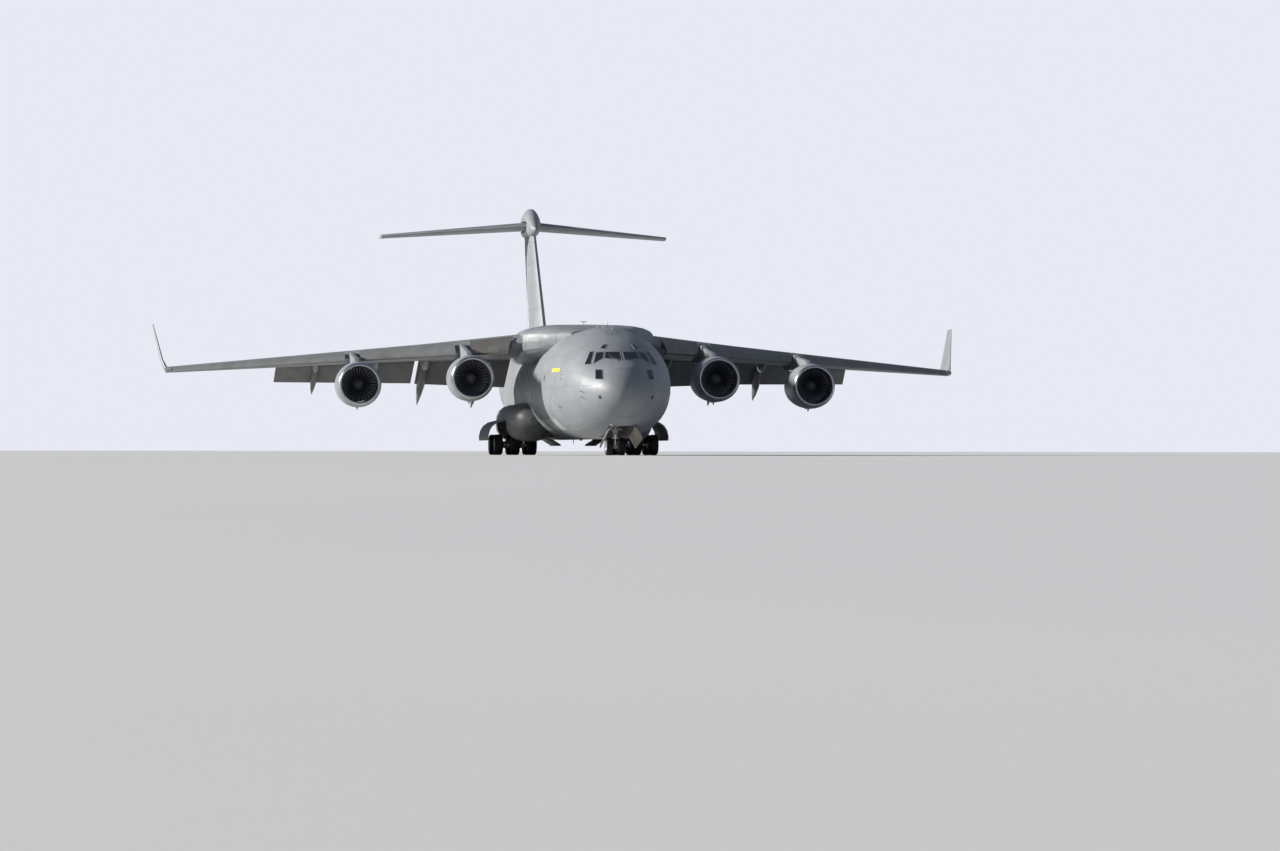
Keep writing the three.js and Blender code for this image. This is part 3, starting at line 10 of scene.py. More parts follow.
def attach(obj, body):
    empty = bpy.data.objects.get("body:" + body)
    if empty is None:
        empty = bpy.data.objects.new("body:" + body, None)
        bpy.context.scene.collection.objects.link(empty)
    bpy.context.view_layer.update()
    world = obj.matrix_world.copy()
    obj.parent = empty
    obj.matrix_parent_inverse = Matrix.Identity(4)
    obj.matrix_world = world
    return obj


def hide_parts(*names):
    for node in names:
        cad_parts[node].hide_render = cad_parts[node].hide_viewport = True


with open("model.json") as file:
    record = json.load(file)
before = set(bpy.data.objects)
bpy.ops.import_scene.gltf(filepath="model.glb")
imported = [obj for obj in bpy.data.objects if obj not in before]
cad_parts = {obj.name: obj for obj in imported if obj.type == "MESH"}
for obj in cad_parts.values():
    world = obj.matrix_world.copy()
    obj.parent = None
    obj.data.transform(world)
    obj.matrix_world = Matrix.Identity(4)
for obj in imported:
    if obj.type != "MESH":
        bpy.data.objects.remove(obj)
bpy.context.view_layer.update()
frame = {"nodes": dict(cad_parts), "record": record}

# Sizes are given full size in metres as x, station aft of the nose tip, z, and brought to the model
SCALE = 0.5
MID_STATION = 26.52
SIDES = (("port", 1), ("starboard", -1))
CIRCLE = 2 * math.pi


def at(x, s, z):
    return Vector((x * SCALE, (s - MID_STATION) * SCALE, z * SCALE))


def back(co):
    return co.x / SCALE, co.y / SCALE + MID_STATION, co.z / SCALE


def circle(sides):
    """Cosine and sine at equal steps all round."""
    return [(math.cos(CIRCLE * i / sides), math.sin(CIRCLE * i / sides)) for i in range(sides)]


def linked(name, data):
    """New object in the scene."""
    thing = bpy.data.objects.new(name, data)
    bpy.context.scene.collection.objects.link(thing)
    return thing


# Camera at floor level, ahead of the aircraft and to starboard of its nose
CAMERA_PLACE = (-15.224, -119.03, 0.12)
VIEW_YAW, VIEW_PITCH, VIEW_ROLL = 0.145938, 0.0067446, 0.0013748
camera_data = bpy.data.cameras.new("camera")
camera_data.lens = 107.3
camera_data.sensor_width = 36
camera_data.clip_start = 1
camera_data.clip_end = 4000
camera = linked("camera", camera_data)
camera.matrix_world = (
    Matrix.Translation(CAMERA_PLACE) @ Matrix.Rotation(-VIEW_YAW, 4, "Z")
    @ Matrix.Rotation(math.pi / 2 + VIEW_PITCH, 4, "X") @ Matrix.Rotation(VIEW_ROLL, 4, "Z")
)
bpy.context.scene.camera = camera


# Material helpers
def put(tree, socket, value):
    if isinstance(value, bpy.types.NodeSocket):
        tree.links.new(value, socket)
    else:
        socket.default_value = value


def add_node(tree, kind, inputs=None, **settings):
    made = tree.nodes.new("ShaderNode" + kind)
    for name, value in settings.items():
        setattr(made, name, value)
    for name, value in (inputs or {}).items():
        put(tree, made.inputs[name], value)
    return made


class Tree:
    """Material with its nodes; patterns lie in the piece's own coordinates."""

    def __init__(self, name):
        self.material = bpy.data.materials.new(name)
        self.material.use_nodes = True
        self.tree = self.material.node_tree
        self.shader = next(n for n in self.tree.nodes if n.type == "BSDF_PRINCIPLED")
        self.coord = self.node("TexCoord").outputs["Object"]

    def set(self, name, value):
        put(self.tree, self.shader.inputs[name], value)

    def node(self, kind, inputs=None, **settings):
        return add_node(self.tree, kind, inputs, **settings)

    def math(self, operation, a, b=0.0):
        return self.node("Math", {0: a, 1: b}, operation=operation).outputs[0]

    def noise(self, scale, detail=3.0, stretch=None):
        place = self.coord
        if stretch:
            place = self.node("Mapping", {"Vector": place, "Scale": stretch}).outputs[0]
        return self.node("TexNoise", {"Scale": scale, "Detail": detail, "Vector": place}).outputs["Fac"]

    def span(self, value, low, high, from_low=0.3, from_high=0.7):
        return self.node("MapRange", {
            "Value": value, "From Min": from_low, "From Max": from_high, "To Min": low, "To Max": high,
        }).outputs[0]

    def mix(self, factor, a, b):
        return self.node("Mix", {"Factor": factor, "A": a, "B": b}, data_type="RGBA").outputs["Result"]

    def toned(self, colour, shade):
        """Colour times a pattern."""
        parts = {i: self.math("MULTIPLY", shade, part) for i, part in enumerate(colour)}
        return self.node("CombineColor", parts).outputs[0]

    def bump(self, height, strength, distance):
        made = self.node("Bump", {"Height": height, "Strength": strength, "Distance": distance})
        self.set("Normal", made.outputs[0])

    def line(self, value, pitch, offset, width):
        """1 on lines of this width that come once in every pitch of value."""
        shifted = self.math("ADD", value, pitch * 1000 + offset)
        part = self.math("MODULO", shifted, pitch)
        away = self.math("ABSOLUTE", self.math("SUBTRACT", part, pitch / 2))
        return self.math("LESS_THAN", away, width / 2)


HULL_AXIS_Z = 2.035
SEAM_TONE, SEAM_SHARE = 0.42, 0.62
RIVET_PITCH, RIVET_TURN = 0.5, 0.02
# Factors that give each panel a number of its own, from which its tone is drawn
PANEL_FACTOR = {"x": 78.2, "y": 12.9, "z": 78.2, "a": 12.9}


def painted(name, colour, rough=0.5, metallic=0.0, seams=(), tone=0.06, grime=0.12, rivets=0.0):
    """Weathered paint. Seams are [axis, pitch, offset, width], model metres; axis a goes round the hull."""
    t = Tree(name)
    x, y, z = t.node("SeparateXYZ", {0: t.coord}).outputs
    around = t.math("ARCTAN2", t.math("SUBTRACT", z, HULL_AXIS_Z), x)
    values = {"x": x, "y": y, "z": z, "a": around}
    broad = t.span(t.noise(0.22, 4), 1 - tone, 1 + tone)
    streak = t.span(t.noise(1.1, 5, (2.6, 2.6, 0.22)), 1 - grime * 0.6, 1 + grime * 0.25)
    fine = t.span(t.noise(9, 4), 1 - grime * 0.25, 1 + grime * 0.15)
    shade = t.math("MULTIPLY", t.math("MULTIPLY", broad, streak), fine)
    seam_mask = panels = None
    for axis, pitch, offset, width in seams:
        mask = t.line(values[axis], pitch, offset, width)
        seam_mask = t.math("MAXIMUM", seam_mask, mask) if seam_mask else mask
        count = t.math("DIVIDE", t.math("ADD", values[axis], offset + pitch * 200.5), pitch)
        panel = t.math("MULTIPLY", t.math("FLOOR", count), PANEL_FACTOR[axis])
        panels = t.math("ADD", panels, panel) if panels else panel
    if seams:
        random_tone = t.node("TexWhiteNoise", {"W": panels}, noise_dimensions="1D").outputs["Value"]
        shade = t.math("MULTIPLY", shade, t.span(random_tone, 1 - tone * 0.7, 1 + tone * 0.7, 0, 1))
    body = t.toned(colour, shade)
    if seams:
        dark = tuple(c * SEAM_TONE for c in colour) + (1,)
        body = t.mix(t.math("MULTIPLY", seam_mask, SEAM_SHARE), body, dark)
    t.set("Base Color", body)
    t.set("Roughness", t.span(t.noise(2.4, 5), rough - 0.07, rough + 0.08))
    t.set("Metallic", metallic)
    t.set("Specular IOR Level", 0.4)
    height = t.math("MULTIPLY", t.noise(5.5, 4), 0.35)
    if rivets:
        rows = t.math("MULTIPLY", t.line(y, RIVET_PITCH, 0.02, 0.012), t.line(around, RIVET_TURN, 0, 0.008))
        height = t.math("ADD", height, t.math("MULTIPLY", rows, rivets))
    if seams:
        height = t.math("SUBTRACT", height, seam_mask)
    t.bump(height, 0.35, 0.004)
    return t.material


def metal(name, colour, rough, brush=(1, 1, 1), scratch=0.06):
    t = Tree(name)
    t.set("Base Color", t.toned(colour, t.span(t.noise(6, 5, brush), 0.86, 1.08)))
    t.set("Roughness", t.span(t.noise(14, 5, brush), rough - scratch, rough + scratch))
    t.set("Metallic", 1.0)
    t.bump(t.noise(30, 4, brush), 0.12, 0.002)
    return t.material


def rubber():
    t = Tree("tyre_rubber")
    dust = t.span(t.noise(3, 6), 0.0, 0.3, 0.45, 0.75)
    t.set("Base Color", t.mix(dust, (0.014, 0.014, 0.015, 1), (0.05, 0.045, 0.04, 1)))
    t.set("Roughness", t.span(t.noise(8, 4), 0.74, 0.92))
    t.bump(t.noise(45, 5), 0.3, 0.003)
    return t.material


def glass():
    t = Tree("tinted_glass")
    haze = t.span(t.noise(5, 3), 0, 0.25)
    t.set("Base Color", t.mix(haze, (0.012, 0.015, 0.018, 1), (0.03, 0.034, 0.036, 1)))
    t.set("Roughness", t.span(t.noise(20, 3), 0.04, 0.1))
    t.set("IOR", 1.5)
    t.set("Transmission Weight", 0.35)
    t.set("Coat Weight", 0.6)
    t.set("Coat Roughness", 0.03)
    return t.material


def lens(name, colour, glow):
    t = Tree(name)
    darker = tuple(c * 0.7 for c in colour) + (1,)
    t.set("Base Color", t.mix(t.span(t.noise(40, 2), 0, 0.3), colour + (1,), darker))
    t.set("Roughness", t.span(t.noise(60, 2), 0.05, 0.14))
    t.set("Emission Color", colour + (1,))
    t.set("Emission Strength", glow)
    t.set("Coat Weight", 0.8)
    return t.material


HULL_SEAMS = (("y", 1.02, 0.18, 0.014), ("a", math.pi / 11, 0.09, 0.0042))
WING_SEAMS = (("x", 1.15, 0.2, 0.012), ("y", 0.83, 0.1, 0.011))
TAIL_SEAMS = (("z", 0.78, 0.2, 0.012), ("y", 0.9, 0.1, 0.011))
SLAT_SEAMS = (("x", 1.45, 0.2, 0.01),)
hull_paint = painted("hull_paint", (0.235, 0.252, 0.268), 0.5, seams=HULL_SEAMS, rivets=0.25)
wing_paint = painted("wing_paint", (0.235, 0.25, 0.262), 0.44, seams=WING_SEAMS)
tail_paint = painted("tail_paint", (0.255, 0.272, 0.286), 0.44, seams=TAIL_SEAMS)
# Pods: olive grey, less blue than the hull, the tint a painted reflection of the ground; more streaking dirt
pod_paint_and_painted_reflection = painted("pod_paint_and_painted_reflection", (0.205, 0.212, 0.208), 0.43, seams=(("y", 0.95, 0.1, 0.012),), grime=0.22)
door_paint = painted("door_paint", (0.215, 0.225, 0.23), 0.47, grime=0.2, tone=0.05)
flap_paint = painted("flap_paint", (0.16, 0.162, 0.158), 0.5, seams=(("x", 1.3, 0.3, 0.012),), grime=0.25)
radome_paint = painted("radome_paint", (0.225, 0.24, 0.252), 0.5, grime=0.16, tone=0.04)
cowl_paint = painted("cowl_paint", (0.27, 0.286, 0.3), 0.4, seams=(("y", 0.62, 0.12, 0.012),), grime=0.2)
slat_metal = painted("slat_metal", (0.22, 0.225, 0.225), 0.4, 0.2, seams=SLAT_SEAMS, grime=0.22)
# Inner slats: metallic, their brighter bronze colour a painted sheen of reflected ground
slat_metal_painted_sheen = painted("slat_metal_painted_sheen", (0.34, 0.32, 0.28), 0.3, 0.7, seams=SLAT_SEAMS, grime=0.25)
inner_primer = painted("inner_primer", (0.33, 0.31, 0.255), 0.6, grime=0.45, tone=0.12)
bay_primer = painted("bay_primer", (0.2, 0.2, 0.175), 0.65, grime=0.4, tone=0.1)
hold_liner = painted("hold_liner", (0.36, 0.38, 0.37), 0.7, seams=(("y", 0.51, 0.1, 0.012),), grime=0.3)
deck_grey = painted("deck_grey", (0.09, 0.095, 0.1), 0.7, grime=0.3)
leg_paint = painted("leg_paint", (0.52, 0.53, 0.51), 0.38, grime=0.35, tone=0.05)
dark_duct = painted("dark_duct", (0.06, 0.065, 0.072), 0.5, grime=0.4)
liner_grey = painted("liner_grey", (0.15, 0.158, 0.168), 0.45, 0.3, grime=0.3)
black_trim = painted("black_trim", (0.012, 0.012, 0.013), 0.55, grime=0.3)
# Black for cooling holes, vents, ports and the tail cone's opening: painted shade inside openings
painted_opening_shade = painted("painted_opening_shade", (0.02, 0.021, 0.023), 0.6, grime=0.3)
yellow_mark = painted("yellow_mark", (0.8, 0.72, 0.05), 0.5, grime=0.3)
frame_grey = painted("frame_grey", (0.2, 0.212, 0.222), 0.42, grime=0.25)
seam_grey = painted("seam_grey", (0.1, 0.106, 0.112), 0.55, grime=0.3)
strip_mark = painted("strip_mark", (0.27, 0.285, 0.25), 0.45, grime=0.2)
seat_web = painted("seat_web", (0.2, 0.06, 0.045), 0.8, grime=0.35, tone=0.1)
hub_paint = painted("hub_paint", (0.5, 0.5, 0.48), 0.42, 0.2, grime=0.4)
lip_metal = metal("lip_metal", (0.5, 0.51, 0.52), 0.32)
chrome = metal("chrome", (0.86, 0.86, 0.85), 0.1, (1, 1, 8), 0.03)
# Fan blades: metal whose colour is darkened as painted shade of the inlet
fan_metal = metal("fan_metal", (0.17, 0.18, 0.2), 0.42, (1, 6, 1))
hot_metal = metal("hot_metal", (0.3, 0.27, 0.24), 0.36, (1, 4, 1))
steel = metal("steel", (0.42, 0.42, 0.42), 0.34)
tyre_rubber = rubber()
tinted_glass = glass()
lamp_clear = lens("lamp_clear", (0.85, 0.86, 0.84), 0.25)
lamp_red = lens("lamp_red", (0.6, 0.03, 0.02), 0.1)
lamp_green = lens("lamp_green", (0.02, 0.4, 0.12), 0.1)


# Mesh helpers
def add_piece(bm, name, materials, body, smooth, replaces=(), split_finishes=False):
    """Piece that rides on a body, smooth over edges that bend less than so many degrees."""
    limit = math.radians(smooth)
    for face in bm.faces:
        face.smooth = True
    for edge in bm.edges:
        faces = edge.link_faces
        edge.smooth = (
            len(faces) == 2 and edge.calc_face_angle(0) < limit
            and not (split_finishes and faces[0].material_index != faces[1].material_index)
        )
    mesh = bpy.data.meshes.new(name)
    bm.to_mesh(mesh)
    bm.free()
    for material in materials:
        mesh.materials.append(material)
    piece = linked(name, mesh)
    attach(piece, body)
    if replaces:
        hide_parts(*replaces)


def finish_mesh(bm, name, materials, smooth, body="airframe", replaces=()):
    bmesh.ops.recalc_face_normals(bm, faces=bm.faces)
    add_piece(bm, name, materials, body, smooth, replaces)


def quads(bm, rows, index=0, closed=False):
    """Faces between rows of vertices."""
    count = len(rows[0])
    for near, far in zip(rows, rows[1:]):
        for i in range(count if closed else count - 1):
            j = (i + 1) % count
            bm.faces.new((near[i], near[j], far[j], far[i])).material_index = index


def add_rings(bm, rings, caps=True, index=0):
    """Skin through closed rings of points given in model metres."""
    rows = [[bm.verts.new(p) for p in ring] for ring in rings]
    quads(bm, rows, index, closed=True)
    if caps:
        for ring in (rows[0], rows[-1][::-1]):
            bm.faces.new(ring).material_index = index


def turned(bm, profile, origin, axis, sides, index=0):
    """Lathe body: profile is [radius, distance along axis]; index is a finish, or gives it for a row."""
    rows = []
    for radius, along in profile:
        ring = []
        for cosine, sine in circle(1 if radius < 1e-6 else sides):
            c, d = radius * cosine, radius * sine
            offset = {"x": (along, c, d), "y": (c, along, d), "z": (c, d, along)}[axis]
            ring.append(bm.verts.new(at(*(o + p for o, p in zip(origin, offset)))))
        rows.append(ring)
    for r, (near, far) in enumerate(zip(rows, rows[1:])):
        for i in range(sides):
            j = (i + 1) % sides
            if len(near) == 1:
                corners = (near[0], far[j], far[i])
            elif len(far) == 1:
                corners = (near[i], near[j], far[0])
            else:
                corners = (near[i], near[j], far[j], far[i])
            bm.faces.new(corners).material_index = index(r) if callable(index) else index


ROD_CHAMFER = 0.12


def rod(bm, start, end, radius, sides=20, index=0, end_radius=None):
    """Round bar with softened ends between two points."""
    a, b = at(*start), at(*end)
    axis = (b - a).normalized()
    side = axis.orthogonal().normalized()
    up = axis.cross(side)
    r0 = radius * SCALE
    r1 = (radius if end_radius is None else end_radius) * SCALE
    edge = min(r0, r1) * ROD_CHAMFER
    length = (b - a).length
    profile = ((0, r0 - edge), (edge, r0), (length - edge, r1), (length, r1 - edge))
    add_rings(bm, [
        [a + axis * along + side * r * c + up * r * d for c, d in circle(sides)] for along, r in profile
    ], index=index)


def refined(points, per=6):
    """Points on a smooth path through the given ones, so many to each stretch."""
    out = []
    for i in range(len(points) - 1):
        p0, p1 = Vector(points[max(i - 1, 0)]), Vector(points[i])
        p2, p3 = Vector(points[i + 1]), Vector(points[min(i + 2, len(points) - 1)])
        for k in range(per):
            t = k / per
            curve = (
                (2 * p1) + (p2 - p0) * t + (2 * p0 - 5 * p1 + 4 * p2 - p3) * t * t
                + (3 * p1 - p0 - 3 * p2 + p3) * t ** 3
            )
            out.append(tuple(0.5 * curve))
    out.append(tuple(points[-1]))
    return out


def hose(bm, points, radius, index=0, sides=8):
    """Thin tube on a smooth path through points."""
    path = [at(*p) for p in refined(points)]
    leaning = Vector((0.13, 0.21, 0.97))
    rings = []
    for i, p in enumerate(path):
        along = (path[min(i + 1, len(path) - 1)] - path[max(i - 1, 0)]).normalized()
        side = along.cross(leaning).normalized()
        top = side.cross(along)
        rings.append([p + (side * c + top * d) * radius * SCALE for c, d in circle(sides)])
    add_rings(bm, rings, index=index)


def join_part(bm, part, index=0):
    """Adds a part made in full-size metres."""
    for v in part.verts:
        v.co = at(*v.co)
    for face in part.faces:
        face.material_index = index
    mesh = bpy.data.meshes.new("part")
    part.to_mesh(mesh)
    part.free()
    bm.from_mesh(mesh)
    bpy.data.meshes.remove(mesh)


def soften(part, size):
    bmesh.ops.bevel(part, geom=part.edges[:], offset=size, segments=2, profile=0.6, affect="EDGES")


def block(bm, x0, x1, s0, s1, z0, z1, bevel=0.02, index=0):
    """Box with softened edges."""
    part = bmesh.new()
    bmesh.ops.create_cube(part, size=1)
    middle = Vector(((x0 + x1) / 2, (s0 + s1) / 2, (z0 + z1) / 2))
    size = Vector((x1 - x0, s1 - s0, z1 - z0))
    for v in part.verts:
        v.co = middle + v.co * size
    soften(part, min(bevel, min(abs(d) for d in size) * 0.3))
    join_part(bm, part, index)


def plate(bm, outline, axis, low, high, bevel=0.0, turn=0.0, place=(0, 0, 0)):
    """Flat plate square to axis (outline x: [s, z], y: [x, z], z: [x, s]), turned about y, then placed."""
    part = bmesh.new()

    def spot(p, depth):
        return {"x": (depth, p[0], p[1]), "y": (p[0], depth, p[1]), "z": (p[0], p[1], depth)}[axis]

    lower = [part.verts.new(spot(p, low)) for p in outline]
    upper = [part.verts.new(spot(p, high)) for p in outline]
    part.faces.new(lower)
    part.faces.new(list(reversed(upper)))
    for i in range(len(outline)):
        j = (i + 1) % len(outline)
        part.faces.new((lower[i], lower[j], upper[j], upper[i]))
    bmesh.ops.recalc_face_normals(part, faces=part.faces)
    if bevel:
        soften(part, bevel)
    for v in part.verts:
        v.co = Matrix.Rotation(turn, 3, "Y") @ v.co + Vector(place)
    join_part(bm, part)


def smooth_curve(xs, ys):
    """Smooth curve through a table of values, with no overshoot."""
    n = len(xs)
    d = [(ys[i + 1] - ys[i]) / (xs[i + 1] - xs[i]) for i in range(n - 1)]
    m = [d[0]] + [0.0] * (n - 2) + [d[-1]]
    for i in range(1, n - 1):
        if d[i - 1] * d[i] > 0:
            w1 = 2 * (xs[i + 1] - xs[i]) + (xs[i] - xs[i - 1])
            w2 = (xs[i + 1] - xs[i]) + 2 * (xs[i] - xs[i - 1])
            m[i] = (w1 + w2) / (w1 / d[i - 1] + w2 / d[i])

    def value(x):
        x = min(max(x, xs[0]), xs[-1])
        i = 0
        while i < n - 2 and x > xs[i + 1]:
            i += 1
        h = xs[i + 1] - xs[i]
        t = (x - xs[i]) / h
        return (
            ys[i] * (2 * t ** 3 - 3 * t * t + 1) + m[i] * h * (t ** 3 - 2 * t * t + t)
            + ys[i + 1] * (3 * t * t - 2 * t ** 3) + m[i + 1] * h * (t ** 3 - t * t)
        )
    return value


def straight(table, station):
    """Row of a table at a station, on straight lines between its rows."""
    i = 0
    while i < len(table) - 2 and table[i + 1][0] <= station:
        i += 1
    a, b = table[i], table[i + 1]
    t = min(max((station - a[0]) / (b[0] - a[0]), 0), 1)
    return [p + (q - p) * t for p, q in zip(a[1:], b[1:])]


# Fuselage outline: station, half width, top, height of the widest line, bottom, squareness below it
HULL = [
    (0, 0.06, 3.46, 3.4, 3.34, 2), (0.15, 0.62, 4.0, 3.42, 2.84, 2), (0.55, 1.16, 4.52, 3.48, 2.42, 2),
    (1.15, 1.66, 4.98, 3.55, 2.02, 2.05), (1.95, 2.14, 5.36, 3.65, 1.68, 2.1),
    (2.6, 2.45, 5.72, 3.75, 1.48, 2.15), (3.3, 2.72, 6.14, 3.85, 1.32, 2.2),
    (4.0, 2.93, 6.5, 3.93, 1.2, 2.25), (5.0, 3.15, 6.86, 4.0, 1.09, 2.3), (6.5, 3.34, 7.22, 4.05, 1.0, 2.35),
    (8.0, 3.42, 7.42, 4.07, 0.96, 2.4), (9.5, 3.43, 7.5, 4.07, 0.95, 2.4), (31.5, 3.43, 7.5, 4.07, 0.95, 2.4),
    (34.0, 3.4, 7.5, 4.25, 1.48, 2.5), (37.6, 3.2, 7.49, 4.65, 2.4, 2.6), (41.0, 2.76, 7.44, 5.13, 3.32, 2.6),
    (44.5, 2.06, 7.32, 5.64, 4.29, 2.5), (47.5, 1.15, 7.06, 6.02, 5.2, 2.3), (49.0, 0.36, 6.76, 6.3, 5.86, 2),
]
HULL_END = HULL[-1][0]
BARREL_Z = 4.07
# How far a point of the faceted skin may lie off it, and how deep the skin's outer faces go
FACET_GAP, SKIN_DEPTH = 0.055, 0.05
RAMP_HINGE_S, RAMP_HINGE_Z = 32.4, 2.4
HOLD_HALF, HOLD_FLOOR, HOLD_ROOF, HOLD_START, HOLD_END = 2.8, 1.6, 5.95, 9.6, 31.4
WELL_HALF, WELL_ROOF, WELL_END = 0.8, 2.9, 6.5
root_stations = [math.sqrt(row[0]) for row in HULL]
hull_curves = [smooth_curve(root_stations, [row[i] for row in HULL]) for i in range(1, 6)]


def hull_row(station):
    q = math.sqrt(max(station, 0))
    return [curve(q) for curve in hull_curves]


def hull_quarter(row, z):
    """Power and height of the part of the section that z lies in."""
    half, top, wide, bottom, corner = row
    return (2, top - wide) if z >= wide else (corner, wide - bottom)


def hull_reach(row, x, z):
    """1 on the skin, less inside it."""
    power, height = hull_quarter(row, z)
    return (abs(x / row[0]) ** power + abs((z - row[2]) / height) ** power) ** (1 / power)


def on_hull(co):
    """Moves a point of the faceted skin to the smooth one; points inside it stay."""
    x, s, z = back(co)
    if not -0.01 < s < HULL_END + 0.01:
        return co
    flat = straight(HULL, s)
    reach = hull_reach(flat, x, z)
    if reach < 0.2 or abs(1 - reach) * math.hypot(x, z - flat[2]) > FACET_GAP:
        return co
    row = hull_row(s)
    factor = 1 / hull_reach(row, x, z)
    return at(x * factor, s, row[2] + (z - row[2]) * factor)


def on_hull_past_hinge(co):
    x, s, z = back(co)
    return co if s < RAMP_HINGE_S and z < RAMP_HINGE_Z else on_hull(co)


def hull_side(s, z, side, proud=0.0):
    """Point on the skin at a station and height."""
    row = hull_row(s)
    half, wide = row[0], row[2]
    power, height = hull_quarter(row, z)
    share = min(abs((z - wide) / height), 1)
    x = half * (1 - share ** power) ** (1 / power)
    normal = Vector((max(x, 0.01) / half ** 2, 0, (z - wide) / height ** 2)).normalized()
    return side * (x + normal.x * proud), s, z + normal.z * proud


def hull_crown(x, s, proud=0.0):
    """Point on top of the skin."""
    half, top, wide = hull_row(s)[:3]
    return x, s, wide + (top - wide) * math.sqrt(max(1 - (x / half) ** 2, 0)) + proud


def hull_keel(x, s):
    """Point below the skin."""
    half, top, wide, bottom, corner = hull_row(s)
    return x, s, wide - (wide - bottom) * max(1 - abs(x / half) ** corner, 0) ** (1 / corner)


# Dressed copies of the CAD solids: finer facets, smooth skins, inner and outer finish
body_of_node = {n: b for b, members in frame["record"]["behaviour"]["bodies"].items() for n in members}
WELD = 2e-5


def dressed(node, materials, planes=(), project=None, pick=None, smooth=30, extra=None, near=None):
    bm = bmesh.new()
    bm.from_mesh(frame["nodes"][node].data)
    bmesh.ops.remove_doubles(bm, verts=bm.verts, dist=WELD)
    bmesh.ops.dissolve_limit(bm, angle_limit=math.radians(0.35), verts=bm.verts, edges=bm.edges)
    for co, no in planes:
        geom = bm.verts[:] + bm.edges[:] + bm.faces[:]
        if near:
            faces = [f for f in bm.faces if near(f.calc_center_median())]
            geom = list({v for f in faces for v in f.verts})
            geom += list({e for f in faces for e in f.edges}) + faces
        bmesh.ops.bisect_plane(bm, geom=geom, dist=WELD, plane_co=co, plane_no=no)
    if project:
        for v in bm.verts:
            v.co = project(v.co)
    if extra:
        extra(bm)
    bm.normal_update()
    for face in bm.faces:
        face.material_index = pick(face) if pick else 0
    add_piece(bm, node, materials, body_of_node[node], smooth, (node,), split_finishes=True)


def station_planes(stations):
    return [(at(0, s, 0), Vector((0, 1, 0))) for s in stations]


def radial_planes(count, height=BARREL_Z):
    angles = (math.pi * (i + 0.5) / count for i in range(count))
    return [(at(0, 0, height), Vector((math.sin(a), 0, -math.cos(a)))) for a in angles]


def steps(start, end, pitch):
    count = max(int(round((end - start) / pitch)), 1)
    return [start + (end - start) * i / count for i in range(1, count)]


def skin_or_inside(face):
    x, s, z = back(face.calc_center_median())
    row = hull_row(s)
    return int((1 - hull_reach(row, x, z)) * math.hypot(x, z - row[2]) >= SKIN_DEPTH)


def skin_hold_or_well(face):
    x, s, z = back(face.calc_center_median())
    in_well = abs(x) < WELL_HALF and s < WELL_END and z < WELL_ROOF
    return skin_or_inside(face) and (2 if in_well else 1)


def skin_or_hold(face):
    x, s, z = back(face.calc_center_median())
    return int(abs(x) < HOLD_HALF and HOLD_FLOOR < z < HOLD_ROOF and HOLD_START < s < HOLD_END)


NOSE_STATIONS = [0.04, 0.09, 0.15, 0.23, 0.32, 0.43, 0.55, 0.7, 0.85, 1.0]
TAIL_CENTRE_Z = 5.2
# Node, stations and number of cuts round the skin, height of their centre, skin, finish of a face
for node, stations, cuts, centre, project, pick in (
    ("radome", NOSE_STATIONS, 36, BARREL_Z, on_hull, skin_or_inside),
    ("forward_fuselage", steps(1.15, 4, 0.2) + steps(4, 9.5, 0.5), 32, BARREL_Z, on_hull, skin_hold_or_well),
    ("centre_fuselage", steps(9.5, 31.5, 1.1), 24, BARREL_Z, on_hull, skin_or_hold),
    ("aft_fuselage", steps(31.5, 49, 0.7), 24, TAIL_CENTRE_Z, on_hull_past_hinge, skin_or_inside),
    ("cargo_ramp", steps(31.6, 37.5, 0.7), 24, TAIL_CENTRE_Z, on_hull_past_hinge, skin_or_inside),
    ("cargo_door", steps(37.7, 43.1, 0.7), 24, TAIL_CENTRE_Z, on_hull, skin_or_inside),
    ("crew_door", steps(6.5, 7.3, 0.2), 48, BARREL_Z, on_hull, skin_or_inside),
):
    finishes = [radome_paint, bay_primer] if node == "radome" else [hull_paint, hold_liner]
    if node == "forward_fuselage":
        finishes.append(bay_primer)
    planes = station_planes(stations) + radial_planes(cuts, centre)
    dressed(node, finishes, planes, project, pick, 48 if node == "radome" else 30)
dressed("flight_deck", [deck_grey])

# Bullet on the fin: station, half width, bottom, top
BULLET = [
    (44.0, 0.06, 15.1, 15.25), (44.6, 0.33, 14.9, 15.7), (46.0, 0.54, 14.75, 16.5),
    (47.3, 0.56, 14.75, 16.79), (49.5, 0.46, 14.85, 16.5), (51.6, 0.06, 15.35, 15.7),
]
BULLET_START, BULLET_END = BULLET[0][0], BULLET[-1][0]
BULLET_LOW, BULLET_TOP, BULLET_GAP = 14.7, 16.75, 0.06
bullet_curves = [smooth_curve([row[0] for row in BULLET], [row[i] for row in BULLET]) for i in (1, 2, 3)]


def bullet_reach(x, z, half, low, high):
    return math.hypot(x / half, (z - (low + high) / 2) / ((high - low) / 2))


def on_bullet(co):
    x, s, z = back(co)
    if not BULLET_START <= s <= BULLET_END or z < BULLET_LOW:
        return co
    if abs(bullet_reach(x, z, *straight(BULLET, s)) - 1) > BULLET_GAP:
        return co
    half, low, high = (curve(s) for curve in bullet_curves)
    middle = (low + high) / 2
    factor = 1 / bullet_reach(x, z, half, low, high)
    return at(x * factor, s, min(middle + (z - middle) * factor, BULLET_TOP))


def near_bullet(co):
    return co.y > at(0, BULLET_START, 0).y and co.z > at(0, 0, BULLET_LOW).z


